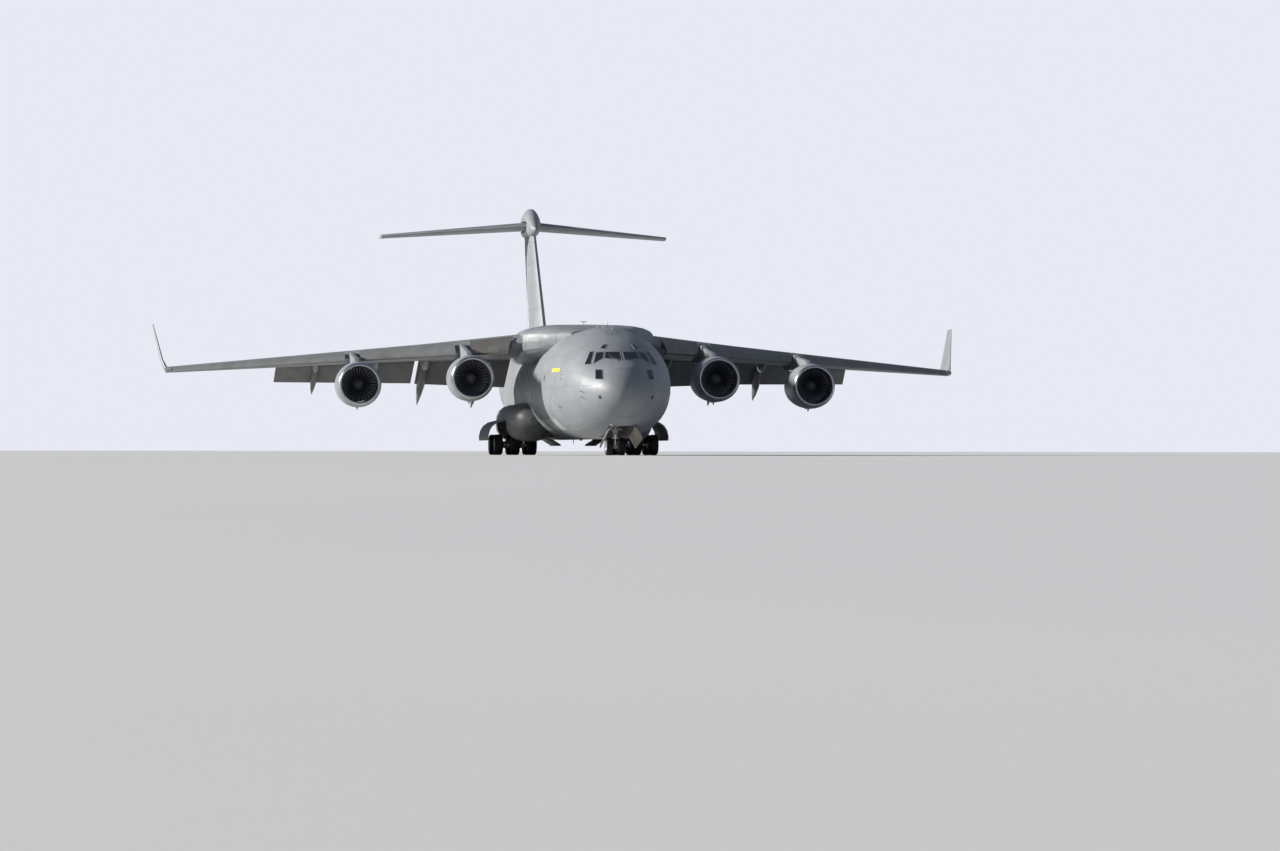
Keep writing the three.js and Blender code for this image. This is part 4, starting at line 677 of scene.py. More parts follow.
for side, sign in SIDES:
    for part, skin, smooth in (
        # The inner slats take the metal with the painted bronze sheen
        ("wing", wing_paint, 28), ("slat_inner", slat_metal_painted_sheen, 35), ("slat_middle", slat_metal, 35),
        ("slat_outer", slat_metal, 35), ("flap_inner", flap_paint, 38), ("flap_outer", flap_paint, 38),
        ("aileron", wing_paint, 30), ("spoiler", wing_paint, 30), ("gear_pod", pod_paint_and_painted_reflection, 40),
        ("elevator", tail_paint, 30),
    ):
        dressed(f"{part}_{side}", [skin], smooth=smooth)
bullet_planes = station_planes(steps(BULLET_START, BULLET_END, 0.38)) + radial_planes(14, 15.6)
dressed("fin", [tail_paint], bullet_planes, on_bullet, smooth=34, near=near_bullet)
dressed("rudder", [tail_paint], smooth=34)
dressed("tailplane", [tail_paint])


# Engines: node, x, station of the inlet, z. Their profiles are [radius, distance aft of the inlet]
ENGINES = [
    ("engine_1_port_outer", 13.85, 16.7, 4.23), ("engine_2_port_inner", 7.4, 13.4, 4.57),
    ("engine_3_starboard_inner", -7.4, 13.4, 4.57), ("engine_4_starboard_outer", -13.85, 16.7, 4.23),
]
FAN_FACE, FAN_BACK = 1.25, 1.505
FAN_BLADES, GUIDE_VANES = 30, 40
COWL = refined([
    (1.085, 0.05), (1.1, 0.005), (1.15, -0.018), (1.2, 0.005), (1.235, 0.08), (1.33, 0.42), (1.375, 1.2),
    (1.342, 2.4), (1.235, 3.5), (1.118, 4.15),
], 5)
DUCT = refined([
    (1.095, 4.15), (1.15, 3.4), (1.17, 2.4), (1.08, 1.55), (1.048, 1.0), (1.052, 0.5), (1.085, 0.05),
], 4)
COWL_ROUND = COWL + DUCT[:-1] + [COWL[0]]
CORE = refined([
    (0.15, FAN_FACE + 0.262), (0.3, 1.56), (0.42, 1.7), (0.62, 2.1), (0.74, 2.6), (0.79, 3.3), (0.78, 4.0),
    (0.68, 4.9), (0.56, 5.75),
], 4)
NOZZLE = [(0.535, 5.75), (0.6, 5.2), (0.4, 5.2)]
PLUG = refined([(0.4, 5.2), (0.4, 5.65), (0.24, 6.2), (0.0, 6.7)], 4)[1:]
COLD_ROWS = 12
SPINNER = refined([
    (0.0, FAN_FACE - 0.43), (0.09, FAN_FACE - 0.37), (0.2, FAN_FACE - 0.24), (0.3, FAN_FACE - 0.06),
    (0.335, FAN_FACE + 0.08), (0.335, FAN_BACK),
], 4) + [(0.0, FAN_BACK)]
# Strake on the inboard shoulder of the cowl: [distance aft, radius], and its angle from level
STRAKE = [(0.75, 1.325), (1.35, 1.58), (1.85, 1.6), (2.05, 1.335)]
STRAKE_ANGLE = math.radians(38)
VANE = [(0.006, 1.75), (0.006, 1.95), (-0.006, 1.95), (-0.006, 1.75)]
BLADE_SECTION = ((-1, 0.001), (-0.5, 0.009), (0.2, 0.01), (1, 0.002), (0.2, -0.006), (-0.5, -0.005))
# Pylon thickness: [half width, how far its outline is drawn in there]
PYLON_EDGE = ((0.19, 0.11), (0.165, 0.05), (0.12, 0.015), (0.06, 0))
# Wing: station of its front edge at the centreline, sweep, kink and the chords there and at both ends
WING_FRONT, WING_SWEEP, KINK_X = 15.45, math.radians(27.5), 9.8
ROOT_CHORD, KINK_CHORD, TIP_CHORD, OUTER_SPAN = 11.2, 7.6, 3.55, 15.3


def cowl_finish(r):
    """0 skin, 1 polished lip, 2 duct behind the fan, 3 inlet liner."""
    along = COWL_ROUND[min(r + 1, len(COWL_ROUND) - 1)][1]
    if r < len(COWL) - 1:
        return 1 if along < 0.2 else 0
    return 2 if along > 0.95 else (3 if along > 0.12 else 1)


def pylon_outline(x, inlet, z):
    if x < KINK_X:
        chord = ROOT_CHORD + (KINK_CHORD - ROOT_CHORD) * x / KINK_X
    else:
        chord = KINK_CHORD + (TIP_CHORD - KINK_CHORD) * (x - KINK_X) / OUTER_SPAN
    front = WING_FRONT + x * math.tan(WING_SWEEP)
    wing_z = 6.78 - (x - 3.96) * 0.0705
    return [
        (inlet + 1.5, z + 1.25), (inlet + 1.9, z + 1.47), (inlet + 2.4, z + 1.62),
        (front - 0.5, wing_z + 0.06), (front + 0.15, wing_z + 0.2), (front + 0.5 * chord, wing_z - 0.25),
        (front + 0.62 * chord, wing_z - 0.5), (front + 0.3 * chord, wing_z - 0.95),
        (inlet + 6.3, z + 0.56), (inlet + 5.2, z + 0.5), (inlet + 2.2, z + 0.5),
    ]


def fan_blade(bm, turn, origin):
    """Twisted blade from the spinner out to the duct."""
    x, s, z = origin
    rings = []
    for k in range(8):
        u = k / 7
        r = 0.31 + 0.715 * u
        stagger = math.radians(32 + 30 * u)
        half = 0.12 + 0.022 * u
        sweep = 0.03 * math.sin(math.pi * u)
        ring = []
        for c, thick in BLADE_SECTION:
            lift = thick + 0.025 * (1 - c * c)
            across = c * half * math.sin(stagger) + lift * math.cos(stagger)
            aft = c * half * math.cos(stagger) - lift * math.sin(stagger)
            px = across * math.cos(turn) + r * math.sin(turn)
            pz = -across * math.sin(turn) + r * math.cos(turn)
            ring.append(at(x + px, s + FAN_FACE + 0.1 + aft + sweep, z + pz))
        rings.append(ring)
    add_rings(bm, rings)


for engine, ex, inlet, ez in ENGINES:
    origin = (ex, inlet, ez)
    bm = bmesh.new()
    turned(bm, COWL_ROUND, origin, "y", 80, cowl_finish)
    bmesh.ops.remove_doubles(bm, verts=bm.verts, dist=1e-5)
    # Latches along the cowl keel, drain mast below
    for s in (1.1, 1.7, 2.3, 2.9):
        block(bm, ex - 0.05, ex + 0.05, inlet + s - 0.07, inlet + s + 0.07, ez - 1.385, ez - 1.33, 0.015)
    mast = [(1.9, 1.34), (2.25, 1.34), (2.3, 1.52), (2.12, 1.52)]
    plate(bm, [(inlet + s, ez - z) for s, z in mast], "x", ex - 0.025, ex + 0.025, 0.008)
    inboard = -1 if ex > 0 else 1
    strake = [(inlet + s, r) for s, r in STRAKE]
    plate(bm, strake, "x", 0.012, -0.012, turn=inboard * (math.pi / 2 - STRAKE_ANGLE), place=(ex, 0, ez))
    finishes = [cowl_paint, lip_metal, dark_duct, liner_grey]
    finish_mesh(bm, f"{engine}_cowl", finishes, 40, replaces=(engine,))

    # Core, exhaust plug and guide vanes
    bm = bmesh.new()
    turned(bm, CORE + NOZZLE + PLUG, origin, "y", 56, lambda r: 0 if r < COLD_ROWS else 1)
    for i in range(GUIDE_VANES):
        plate(bm, VANE, "z", 0.45, 1.12, turn=CIRCLE * i / GUIDE_VANES, place=origin)
    finish_mesh(bm, f"{engine}_core", [dark_duct, hot_metal], 40)

    # Pylon: rounded front edge, flat sides
    outline = pylon_outline(abs(ex), inlet, ez)
    middle = [sum(p[k] for p in outline) / len(outline) for k in (0, 1)]
    layers = [(-width, inset) for width, inset in PYLON_EDGE] + list(reversed(PYLON_EDGE))
    rings = []
    for width, inset in layers:
        ring = []
        for s, z in outline:
            d = math.hypot(s - middle[0], z - middle[1])
            k = (d - inset) / d
            ring.append(at(ex + width, middle[0] + (s - middle[0]) * k, middle[1] + (z - middle[1]) * k))
        rings.append(ring)
    bm = bmesh.new()
    add_rings(bm, rings)
    finish_mesh(bm, f"{engine}_pylon", [wing_paint], 50)

    # Fan: blades on a smooth spinner; the blades' dark colour is painted shade of the inlet
    fan = engine.replace("engine", "fan")
    bm = bmesh.new()
    turned(bm, SPINNER, origin, "y", 40, 1)
    for i in range(FAN_BLADES):
        fan_blade(bm, CIRCLE * i / FAN_BLADES, origin)
    finish_mesh(bm, fan, [fan_metal, liner_grey], 50, fan, (fan,))


# Wheels: treaded tyres, rims with cooling holes drawn as dark plugs of painted shade, and wheel nuts.
# Finishes: 0 tyre, 1 rim, 2 holes (painted shade), 3 steel
# Tyre shoulder and rim: [share of the radius, share of the half width]
SHOULDER = [(0.575, 0.86), (0.66, 0.955), (0.78, 0.985), (0.885, 0.93), (0.955, 0.78), (0.985, 0.62)]
RIM = [
    (0.6, 0.8), (0.585, 0.9), (0.55, 0.9), (0.52, 0.78), (0.47, 0.62), (0.36, 0.5), (0.26, 0.56),
    (0.22, 0.74), (0.14, 0.78), (0.0, 0.78),
]
# Cooling hole (a dark plug, painted shade) and nut: angle, distance from the axle, radius (both shares),
# sides, finish
HOLE_AND_NUT = ((0, 0.42, 0.042, 10, 2), (0.31, 0.3, 0.024, 6, 3))
GROOVE_DEPTH = 0.022
NOSE_S, NOSE_R, NOSE_TYRE = 5.4, 0.508, 0.4
MAIN_AXLES, MAIN_R, MAIN_TYRE = (22.9, 25.7), 0.635, 0.53
MAIN_WHEELS, BRAKES = (4.85, 3.8, 2.75), (4.45, 4.2, 3.43, 3.12)


def wheel(bm, x, s, r, w):
    half = w / 2
    shoulder = refined([(r * p, -half * d) for p, d in SHOULDER], 3)
    tread = []
    for centre in (-0.42, -0.15, 0.15, 0.42):
        c = centre * w * 0.72
        for along, depth in ((-0.017, 0), (-0.012, GROOVE_DEPTH), (0.012, GROOVE_DEPTH), (0.017, 0)):
            tread.append((r * (1 - 0.0154 * ((c + along) / half) ** 2) - depth, c + along))
    profile = [(r * 0.56, -half * 0.82)] + shoulder + tread
    profile += [(p, -d) for p, d in reversed(shoulder)] + [(r * 0.56, half * 0.82)]
    turned(bm, profile, (x, s, r), "x", 56)
    for direction in (-1, 1):
        turned(bm, [(r * p, direction * half * d) for p, d in RIM], (x, s, r), "x", 40, 1)
        inner, outer = x + direction * half * 0.5, x + direction * half * 0.6
        for i in range(10):
            for turn, out, radius, sides, index in HOLE_AND_NUT:
                a = CIRCLE * i / 10 + turn
                spot = (s + math.cos(a) * r * out, r + math.sin(a) * r * out)
                rod(bm, (inner, *spot), (outer, *spot), r * radius, sides, index)


wheel_finishes = [tyre_rubber, hub_paint, painted_opening_shade, steel]
bm = bmesh.new()
for sign in (-1, 1):
    wheel(bm, sign * 0.365, NOSE_S, NOSE_R, NOSE_TYRE)
rod(bm, (-0.3, NOSE_S, NOSE_R), (0.3, NOSE_S, NOSE_R), 0.06, 24, 3)
finish_mesh(bm, "nose_wheels", wheel_finishes, 40, "nose_wheels", ("nose_wheels",))
BRAKE = [(0.075, -0.05), (0.2, -0.05), (0.215, -0.03), (0.215, 0.03), (0.2, 0.05), (0.075, 0.05)]
for place, station in zip(("front", "rear"), MAIN_AXLES):
    for side, sign in SIDES:
        node = f"main_wheels_{place}_{side}"
        bm = bmesh.new()
        for x in MAIN_WHEELS:
            wheel(bm, sign * x, station, MAIN_R, MAIN_TYRE)
        rod(bm, (sign * 2.75, station, MAIN_R), (sign * 4.85, station, MAIN_R), 0.074, 24, 3)
        for x in BRAKES:
            turned(bm, BRAKE, (sign * x, station, MAIN_R), "x", 32, 3)
        finish_mesh(bm, node, wheel_finishes, 40, node, (node,))


def torque_links(bm, x, s, outward, gap, half, links):
    """Pair of hinged links beside a strut; their outlines are [distance from the strut, z]."""
    for link_x in (x - gap, x + gap):
        for link in links:
            plate(bm, [(s + outward * d, z) for d, z in link], "x", link_x - half, link_x + half, 0.005)


# Nose leg with its drag braces, steering actuators, hoses and lamp housings
bm = bmesh.new()
turned(bm, [
    (0.0, 2.84), (0.13, 2.84), (0.145, 2.8), (0.145, 2.2), (0.165, 2.18), (0.165, 2.08), (0.145, 2.06),
    (0.145, 1.62), (0.172, 1.6), (0.172, 1.42), (0.15, 1.4), (0.15, 1.26), (0.0, 1.26),
], (0, NOSE_S, 0), "z", 40)
block(bm, -0.42, 0.42, 5.24, 5.56, 2.62, 2.84, 0.03)
block(bm, -0.3, 0.3, 3.58, 3.82, 2.64, 2.84, 0.03)
rod(bm, (-0.3, 3.72, 2.68), (0.3, 3.72, 2.68), 0.06, 18)
for sign in (-1, 1):
    rod(bm, (sign * 0.12, 5.34, 1.62), (sign * 0.24, 3.72, 2.68), 0.055)
    rod(bm, (sign * 0.2, 5.3, 2.0), (sign * 0.2, 5.3, 2.3), 0.03, 14)
    rod(bm, (sign * 0.16, 5.3, 1.5), (sign * 0.34, 5.12, 1.5), 0.05, 18)
    turned(bm, [(0.0, -0.1), (0.06, -0.1), (0.095, -0.02), (0.1, 0.01)], (sign * 0.27, 5.14, 1.78), "y", 28)
hose(bm, [(0.1, 5.24, 2.6), (0.16, 5.2, 2.2), (0.12, 5.22, 1.8), (0.1, 5.25, 1.45)], 0.014, 1)
hose(bm, [(-0.1, 5.24, 2.6), (-0.17, 5.21, 2.1), (-0.12, 5.22, 1.7), (-0.09, 5.25, 1.45)], 0.014, 1)
finish_mesh(bm, "nose_leg", [leg_paint, black_trim], 40, replaces=("nose_leg",))
bm = bmesh.new()
for sign in (-1, 1):
    dome = [(0.1, 0.0), (0.085, -0.02), (0.05, -0.035), (0.0, -0.04)]
    turned(bm, dome, (sign * 0.27, 5.035, 1.78), "y", 28)
finish_mesh(bm, "nose_leg_lamps", [lamp_clear], 60)
bm = bmesh.new()
rod(bm, (0, NOSE_S, 1.245), (0, NOSE_S, 0.56), 0.088, 32, 1)
rod(bm, (-0.125, NOSE_S, NOSE_R), (0.125, NOSE_S, NOSE_R), 0.115, 32)
block(bm, -0.09, 0.09, 5.28, 5.4, 0.42, 0.62)
turned(bm, [(0.09, 1.16), (0.13, 1.16), (0.13, 1.235), (0.09, 1.235)], (0, NOSE_S, 0), "z", 32)
torque_links(bm, 0, NOSE_S, 1, 0.06, 0.014, (
    [(0.1, 1.2), (0.38, 0.9), (0.35, 0.86), (0.04, 1.13)],
    [(0.38, 0.9), (0.1, 0.5), (0.04, 0.56), (0.33, 0.88)],
))
rod(bm, (-0.08, 5.765, 0.885), (0.08, 5.765, 0.885), 0.025, 14)
rod(bm, (-0.1, 5.29, 0.46), (0.1, 5.29, 0.46), 0.04, 18)
finish_mesh(bm, "nose_fork", [leg_paint, chrome], 40, "nose_fork", ("nose_fork",))

# Main legs with their torque links, braces, hoses and the beam above them
MAIN_LEG_X, BRACE_S = 3.275, 24.3
for side, sign in SIDES:
    bm = bmesh.new()
    x = sign * MAIN_LEG_X
    for station in MAIN_AXLES:
        outward = -1 if station < BRACE_S else 1
        turned(bm, [
            (0.0, 2.46), (0.15, 2.46), (0.168, 2.42), (0.168, 1.5), (0.185, 1.48), (0.185, 1.34),
            (0.16, 1.32), (0.16, 1.26), (0.0, 1.26),
        ], (x, station, 0), "z", 36)
        rod(bm, (x, station, 1.3), (x, station, 0.62), 0.108, 32, 1)
        rod(bm, (x - 0.16, station, MAIN_R), (x + 0.16, station, MAIN_R), 0.136, 32)
        torque_links(bm, x, station, outward, 0.07, 0.016, (
            [(0.15, 1.42), (0.46, 1.08), (0.42, 1.03), (0.13, 1.3)],
            [(0.46, 1.08), (0.13, 0.66), (0.1, 0.74), (0.4, 1.06)],
        ))
        knee = station + outward * 0.44
        rod(bm, (x - 0.1, knee, 1.06), (x + 0.1, knee, 1.06), 0.028, 14)
        rod(bm, (x, station - outward * 0.06, 1.38), (x, BRACE_S, 2.34), 0.068, 24)
        for path in (
            [(0.17, 0, 2.3), (0.21, 0.05, 1.8), (0.2, 0, 1.2), (0.15, 0, 0.8)],
            [(-0.17, 0, 2.3), (-0.22, -0.04, 1.7), (-0.2, 0, 1.1), (-0.15, 0, 0.8)],
        ):
            hose(bm, [(x + dx, station + ds, z) for dx, ds, z in path], 0.015, 2)
    block(bm, x - 0.15, x + 0.15, 22.32, 26.28, 2.26, 2.495, 0.03)
    node = f"main_legs_{side}"
    finish_mesh(bm, node, [leg_paint, chrome, black_trim], 40, replaces=(node,))


# Undercarriage doors: painted outside, primed and ribbed inside
def ribbed(bm, pick, rim, depth):
    """Panels sunk between ribs on the inner side."""
    bm.normal_update()
    shortest = 2.4 * rim * SCALE
    inner = [
        f for f in bm.faces
        if pick(f) and f.calc_area() > 0.02 and min(e.calc_length() for e in f.edges) > shortest
    ]
    bmesh.ops.inset_individual(
        bm, faces=inner, thickness=rim * SCALE, depth=-depth * SCALE, use_even_offset=True,
    )


MAIN_BAY = steps(21.77, 26.83, 0.56)
for side, sign in SIDES:
    for part, stations, inward, rim, depth in (
        ("nose_door", steps(2.06, 4.5, 0.4), lambda n: n.x * sign < -0.2 and n.z < 0.3, 0.035, 0.012),
        ("main_door_outer", MAIN_BAY, lambda n: n.z < -0.25 or n.x * sign < -0.4, 0.05, 0.018),
        ("main_door_inner", MAIN_BAY, lambda n: n.z > 0.25, 0.05, 0.018),
    ):
        dressed(
            f"{part}_{side}", [door_paint, inner_primer], station_planes(stations),
            pick=lambda face: int(inward(face.normal)),
            extra=lambda bm: ribbed(bm, lambda face: inward(face.normal), rim, depth),
        )


# Rounded caps on the pod fronts: station, share of the full section
POD_CAP = ((18.74, 1.1), (18.7, 1.0), (18.665, 0.84), (18.64, 0.62), (18.625, 0.36), (18.62, 0.08))


def squarish(value):
    return math.copysign(abs(value) ** 0.8, value)


for side, sign in SIDES:
    bm = bmesh.new()
    add_rings(bm, [[
        at(sign * (3.1 + squarish(c) * 0.35 * share), s, 2.05 + squarish(d) * 0.33 * share)
        for c, d in circle(20)
    ] for s, share in POD_CAP])
    finish_mesh(bm, f"pod_cap_{side}", [pod_paint_and_painted_reflection], 60)


# Flight deck windows as seen from the front: [x, z] corners on the port side
PANES = [
    [(0.08, 5.42), (1.02, 5.5), (0.88, 5.88), (0.08, 5.88)],
    [(1.1, 5.5), (1.64, 5.2), (1.38, 5.86), (0.96, 5.88)],
    [(1.79, 5.17), (2.08, 5.16), (1.69, 5.9), (1.49, 5.92)],
    [(0.86, 6.05), (1.11, 6.09), (0.9, 6.31), (0.71, 6.32)],
    [(1.31, 4.28), (1.68, 4.3), (1.6, 4.86), (1.25, 4.85)],
]
GLASS_FACES = (0.004, -0.03)
# Frame section: [distance out from the glass edge, height above the skin]
FRAME_SECTION = ((-0.02, -0.05), (-0.02, 0.0), (-0.008, 0.014), (0.028, 0.014), (0.045, -0.02))
CELLS = 6


def front_station(x, z):
    """Station where the smooth skin passes through x, z."""
    low, high = 0.02, 9.0
    for step in range(30):
        middle = (low + high) / 2
        if hull_reach(hull_row(middle), x, z) > 1:
            low = middle
        else:
            high = middle
    return low


def front_normal(x, z):
    e = 0.01
    return Vector((
        (front_station(x + e, z) - front_station(x - e, z)) / (2 * e), -1,
        (front_station(x, z + e) - front_station(x, z - e)) / (2 * e),
    )).normalized()


def front_spot(x, z, proud=0.0):
    return Vector((x, front_station(x, z), z)) + front_normal(x, z) * proud


def between(corners, u, v):
    """Point inside four corners."""
    a, b, c, d = corners
    return [(a[k] * (1 - u) + b[k] * u) * (1 - v) + (d[k] * (1 - u) + c[k] * u) * v for k in (0, 1)]


def add_pane(bm, corners):
    """Curved pane with an outer and an inner face."""
    shares = [i / CELLS for i in range(CELLS + 1)]
    rims = []
    for depth in GLASS_FACES:
        grid = [
            [bm.verts.new(at(*front_spot(*between(corners, u, v), depth))) for v in shares] for u in shares
        ]
        quads(bm, grid)
        first, last = [row[0] for row in grid], [row[-1] for row in grid]
        rims.append(first[:-1] + grid[-1][:-1] + last[:0:-1] + grid[0][:0:-1])
    quads(bm, rims, closed=True)


def add_frame(bm, corners):
    """Raised frame round a pane, mitred at its corners."""
    middle = Vector((sum(c[0] for c in corners) / 4, 0, sum(c[1] for c in corners) / 4))
    middle.y = front_station(middle.x, middle.z)
    spots = [Vector((x, front_station(x, z), z)) for x, z in corners]

    def outward(along, normal, place):
        square = along.cross(normal).normalized()
        return square if square.dot(place - middle) > 0 else -square

    rings = []
    for out, proud in FRAME_SECTION:
        ring = []
        for i in range(4):
            after = (i + 1) % 4
            for k in range(CELLS):
                x, z = (corners[i][n] + (corners[after][n] - corners[i][n]) * k / CELLS for n in (0, 1))
                normal = front_normal(x, z)
                place = Vector((x, front_station(x, z), z))
                square = outward(spots[after] - spots[i], normal, place)
                if k == 0:
                    mitre = (square + outward(spots[i] - spots[i - 1], normal, place)).normalized()
                    square = mitre / max(mitre.dot(square), 0.6)
                moved = place + square * out
                row = hull_row(moved.y)
                factor = 1 / hull_reach(row, moved.x, moved.z)
                moved = Vector((moved.x * factor, moved.y, row[2] + (moved.z - row[2]) * factor))
                ring.append(at(*(moved + normal * proud)))
        rings.append(ring)
    add_rings(bm, rings, caps=False)


panes = bmesh.new()
frames = bmesh.new()
for sign in (-1, 1):
    for pane in PANES:
        corners = [(sign * x, z) for x, z in pane]
        add_pane(panes, corners)
        add_frame(frames, corners)
    # Wiper: arm from its foot, then the blade
    foot, elbow = front_spot(sign * 0.3, 5.37), front_spot(sign * 0.34, 5.4, 0.05)
    rod(frames, foot, elbow, 0.022, 10, 1)
    rod(frames, elbow, front_spot(sign * 0.66, 5.6, 0.03), 0.014, 8, 1, 0.009)
    rod(frames, front_spot(sign * 0.56, 5.47, 0.012), front_spot(sign * 0.76, 5.74, 0.012), 0.012, 8, 1)
pane_body = body_of_node["windshield_glass"]
finish_mesh(panes, "window_panes", [tinted_glass], 30, pane_body, ("windshield_glass",))
finish_mesh(frames, "window_frames", [frame_grey, black_trim], 30)


# Thin sheets laid on the skin. A surface gives a point for two values and a height above the skin
def sheet(bm, surface, a0, a1, b0, b1, proud=0.004, index=0, cells=(6, 4)):
    across, along = cells
    quads(bm, [
        [
            bm.verts.new(at(*surface(a0 + (a1 - a0) * i / across, b0 + (b1 - b0) * k / along, proud)))
            for i in range(across + 1)
        ]
        for k in range(along + 1)
    ], index)


def outlined(bm, surface, a0, a1, b0, b1, width=0.022):
    """Outline of a hatch or door."""
    for p0, p1, q0, q1 in (
        (a0, a1, b0, b0 + width), (a0, a1, b1 - width, b1),
        (a0, a0 + width, b0, b1), (a1 - width, a1, b0, b1),
    ):
        sheet(bm, surface, p0, p1, q0, q1, cells=(8, 8))


def disc(bm, s, z, side, radius, proud, index, sides=24):
    middle = bm.verts.new(at(*hull_side(s, z, side, proud * 2)))
    ring = [
        bm.verts.new(at(*hull_side(s + radius * c, z + radius * d, side, proud))) for c, d in circle(sides)
    ]
    for i in range(sides):
        bm.faces.new((middle, ring[i], ring[(i + 1) % sides])).material_index = index


def side_surface(side):
    return lambda s, z, proud: hull_side(s, z, side, proud)


bm = bmesh.new()
# Roof hatches, the refuelling receptacle and its slipway
for x0, x1, s in ((-1.7, -0.9, 10.6), (-1.7, -0.9, 13.6), (-0.5, 0.5, 29.4)):
    outlined(bm, hull_crown, x0, x1, s, s + 0.75)
outlined(bm, hull_crown, -0.42, 0.42, 5.2, 6.5)
outlined(bm, hull_crown, -0.2, 0.2, 5.45, 6.1, 0.03)
for side in (-1, 1):
    surface = side_surface(side)
    for edges in (
        (33.6, 34.5, 2.1, 3.95), (9.3, 9.95, 2.3, 2.85), (12.2, 12.8, 1.9, 2.4), (15.2, 16.4, 2.2, 2.9),
    ):
        outlined(bm, surface, *edges)
    for s, z in ((11.3, 4.55), (33.9, 3.5)):
        disc(bm, s, z, side, 0.14, 0.005, 1)
    for s, z in ((4.35, 3.5), (36.4, 5.6)):
        sheet(bm, surface, s, s + 1.25, z, z + 0.1, 0.005, 2)
finish_mesh(bm, "skin_outlines", [seam_grey, tinted_glass, strip_mark], 60)


# Position lamps, beacons and static wicks
def struck(node, start, towards):
    """Where a line meets a CAD solid."""
    mesh = frame["nodes"][node].data
    tree = BVHTree.FromPolygons([v.co for v in mesh.vertices], [tuple(f.vertices) for f in mesh.polygons])
    place = tree.ray_cast(at(*start), Vector(towards))[0]
    return back(place) if place else None


for (side, sign), lamp in zip(SIDES, (lamp_red, lamp_green)):
    bm = bmesh.new()
    place = struck(f"wing_{side}", (sign * 25.12, 20, 5.33), (0, 1, 0))
    dome = refined([(0.0, -0.07), (0.035, -0.05), (0.055, 0.0), (0.06, 0.14), (0.05, 0.2)], 3)
    turned(bm, dome, place, "y", 20)
    finish_mesh(bm, f"tip_lamp_{side}", [lamp], 60)
bm = bmesh.new()
for place, up in (((0, 27.5, 7.7), 1), (hull_keel(0, 20.5), -0.55)):
    dome = ((0.0, 0.13), (0.05, 0.12), (0.085, 0.08), (0.1, 0.0), (0.105, -0.03))
    turned(bm, [(r, up * z) for r, z in dome], place, "z", 24)
finish_mesh(bm, "beacons", [lamp_red], 60)
bm = bmesh.new()
turned(bm, [(0.0, 0.09), (0.03, 0.08), (0.045, 0.04), (0.05, -0.05)], (0, 51.58, 15.52), "y", 20)
finish_mesh(bm, "tail_lamp", [lamp_clear], 60)
# Tail cone end: metal ring round a black disc of painted shade
bm = bmesh.new()
turned(bm, [
    (0.31, -0.1), (0.32, 0.02), (0.3, 0.05), (0.27, 0.05), (0.25, 0.0), (0.24, -0.02), (0.0, -0.02),
], (0, HULL_END, 6.31), "y", 40, lambda r: 0 if r < 4 else 1)
finish_mesh(bm, "tail_cone_ring", [hot_metal, painted_opening_shade], 50)


def wick(bm, x, s, z, droop=0.0):
    rod(bm, (x, s - 0.06, z), (x, s + 0.2, z - droop), 0.009, 6, 0, 0.004)


# First height tried for each wick, then the lifts that are tried until the line meets the rear edge
LIFTS = (0, 0.03, -0.03, 0.06, -0.06, 0.1, -0.1, 0.15, -0.15)
for side, sign in SIDES:
    for node, spots in (
        (f"aileron_{side}", [(19.2 + 1.05 * i, 45, 5.62 - 0.05 * i) for i in range(5)]),
        (f"elevator_{side}", [(2.5 + 1.6 * i, 60, 15.33 - 0.08 * i) for i in range(5)]),
    ):
        bm = bmesh.new()
        for x, s, z in spots:
            hits = (struck(node, (sign * x, s, z + lift), (0, -1, 0)) for lift in LIFTS)
            hit = next((found for found in hits if found), None)
            if hit:
                wick(bm, *hit, droop=0.01)
        finish_mesh(bm, f"wicks_{node}", [black_trim], 50, body_of_node[node])
bm = bmesh.new()
for z in (9.0, 10.6, 12.2, 13.8):
    wick(bm, *struck("rudder", (0, 60, z), (0, -1, 0))[:2], z)
finish_mesh(bm, "wicks_rudder", [black_trim], 50, body_of_node["rudder"])


# Hold: frames, floor rails, folded side seats and lamps
FRAME_PITCH = 1.05
bm = bmesh.new()
for i in range(22):
    s = 8.75 + i * FRAME_PITCH
    for sign in (-1, 1):
        block(bm, sign * 2.66, sign * 2.76, s - 0.04, s + 0.04, 2.45, 5.88, 0.01)
    block(bm, -2.72, 2.72, s - 0.04, s + 0.04, 5.83, 5.92, 0.01)
for x in (-1.55, -0.5, 0.5, 1.55):
    block(bm, x - 0.11, x + 0.11, 8.3, 31.2, 1.6, 1.66, 0.01, 1)
    block(bm, x - 0.025, x + 0.025, 8.35, 31.15, 1.64, 1.685, 0.01, 2)
for sign in (-1, 1):
    for i in range(21):
        s = 9.28 + i * FRAME_PITCH
        block(bm, sign * 2.5, sign * 2.62, s - 0.44, s + 0.44, 2.15, 3.15, 0.03, 3)
        block(bm, sign * 2.44, sign * 2.52, s - 0.44, s + 0.44, 2.12, 2.58, 0.03, 3)
    rod(bm, (sign * 2.58, 8.6, 3.22), (sign * 2.58, 31.2, 3.22), 0.03, 10, 2)
    for i in range(8):
        s = 10.2 + i * 2.8
        block(bm, sign * 1.3, sign * 1.5, s - 0.5, s + 0.5, 5.86, 5.91, 0.02, 4)
finish_mesh(bm, "hold_fittings", [hold_liner, deck_grey, steel, seat_web, lamp_clear], 40)


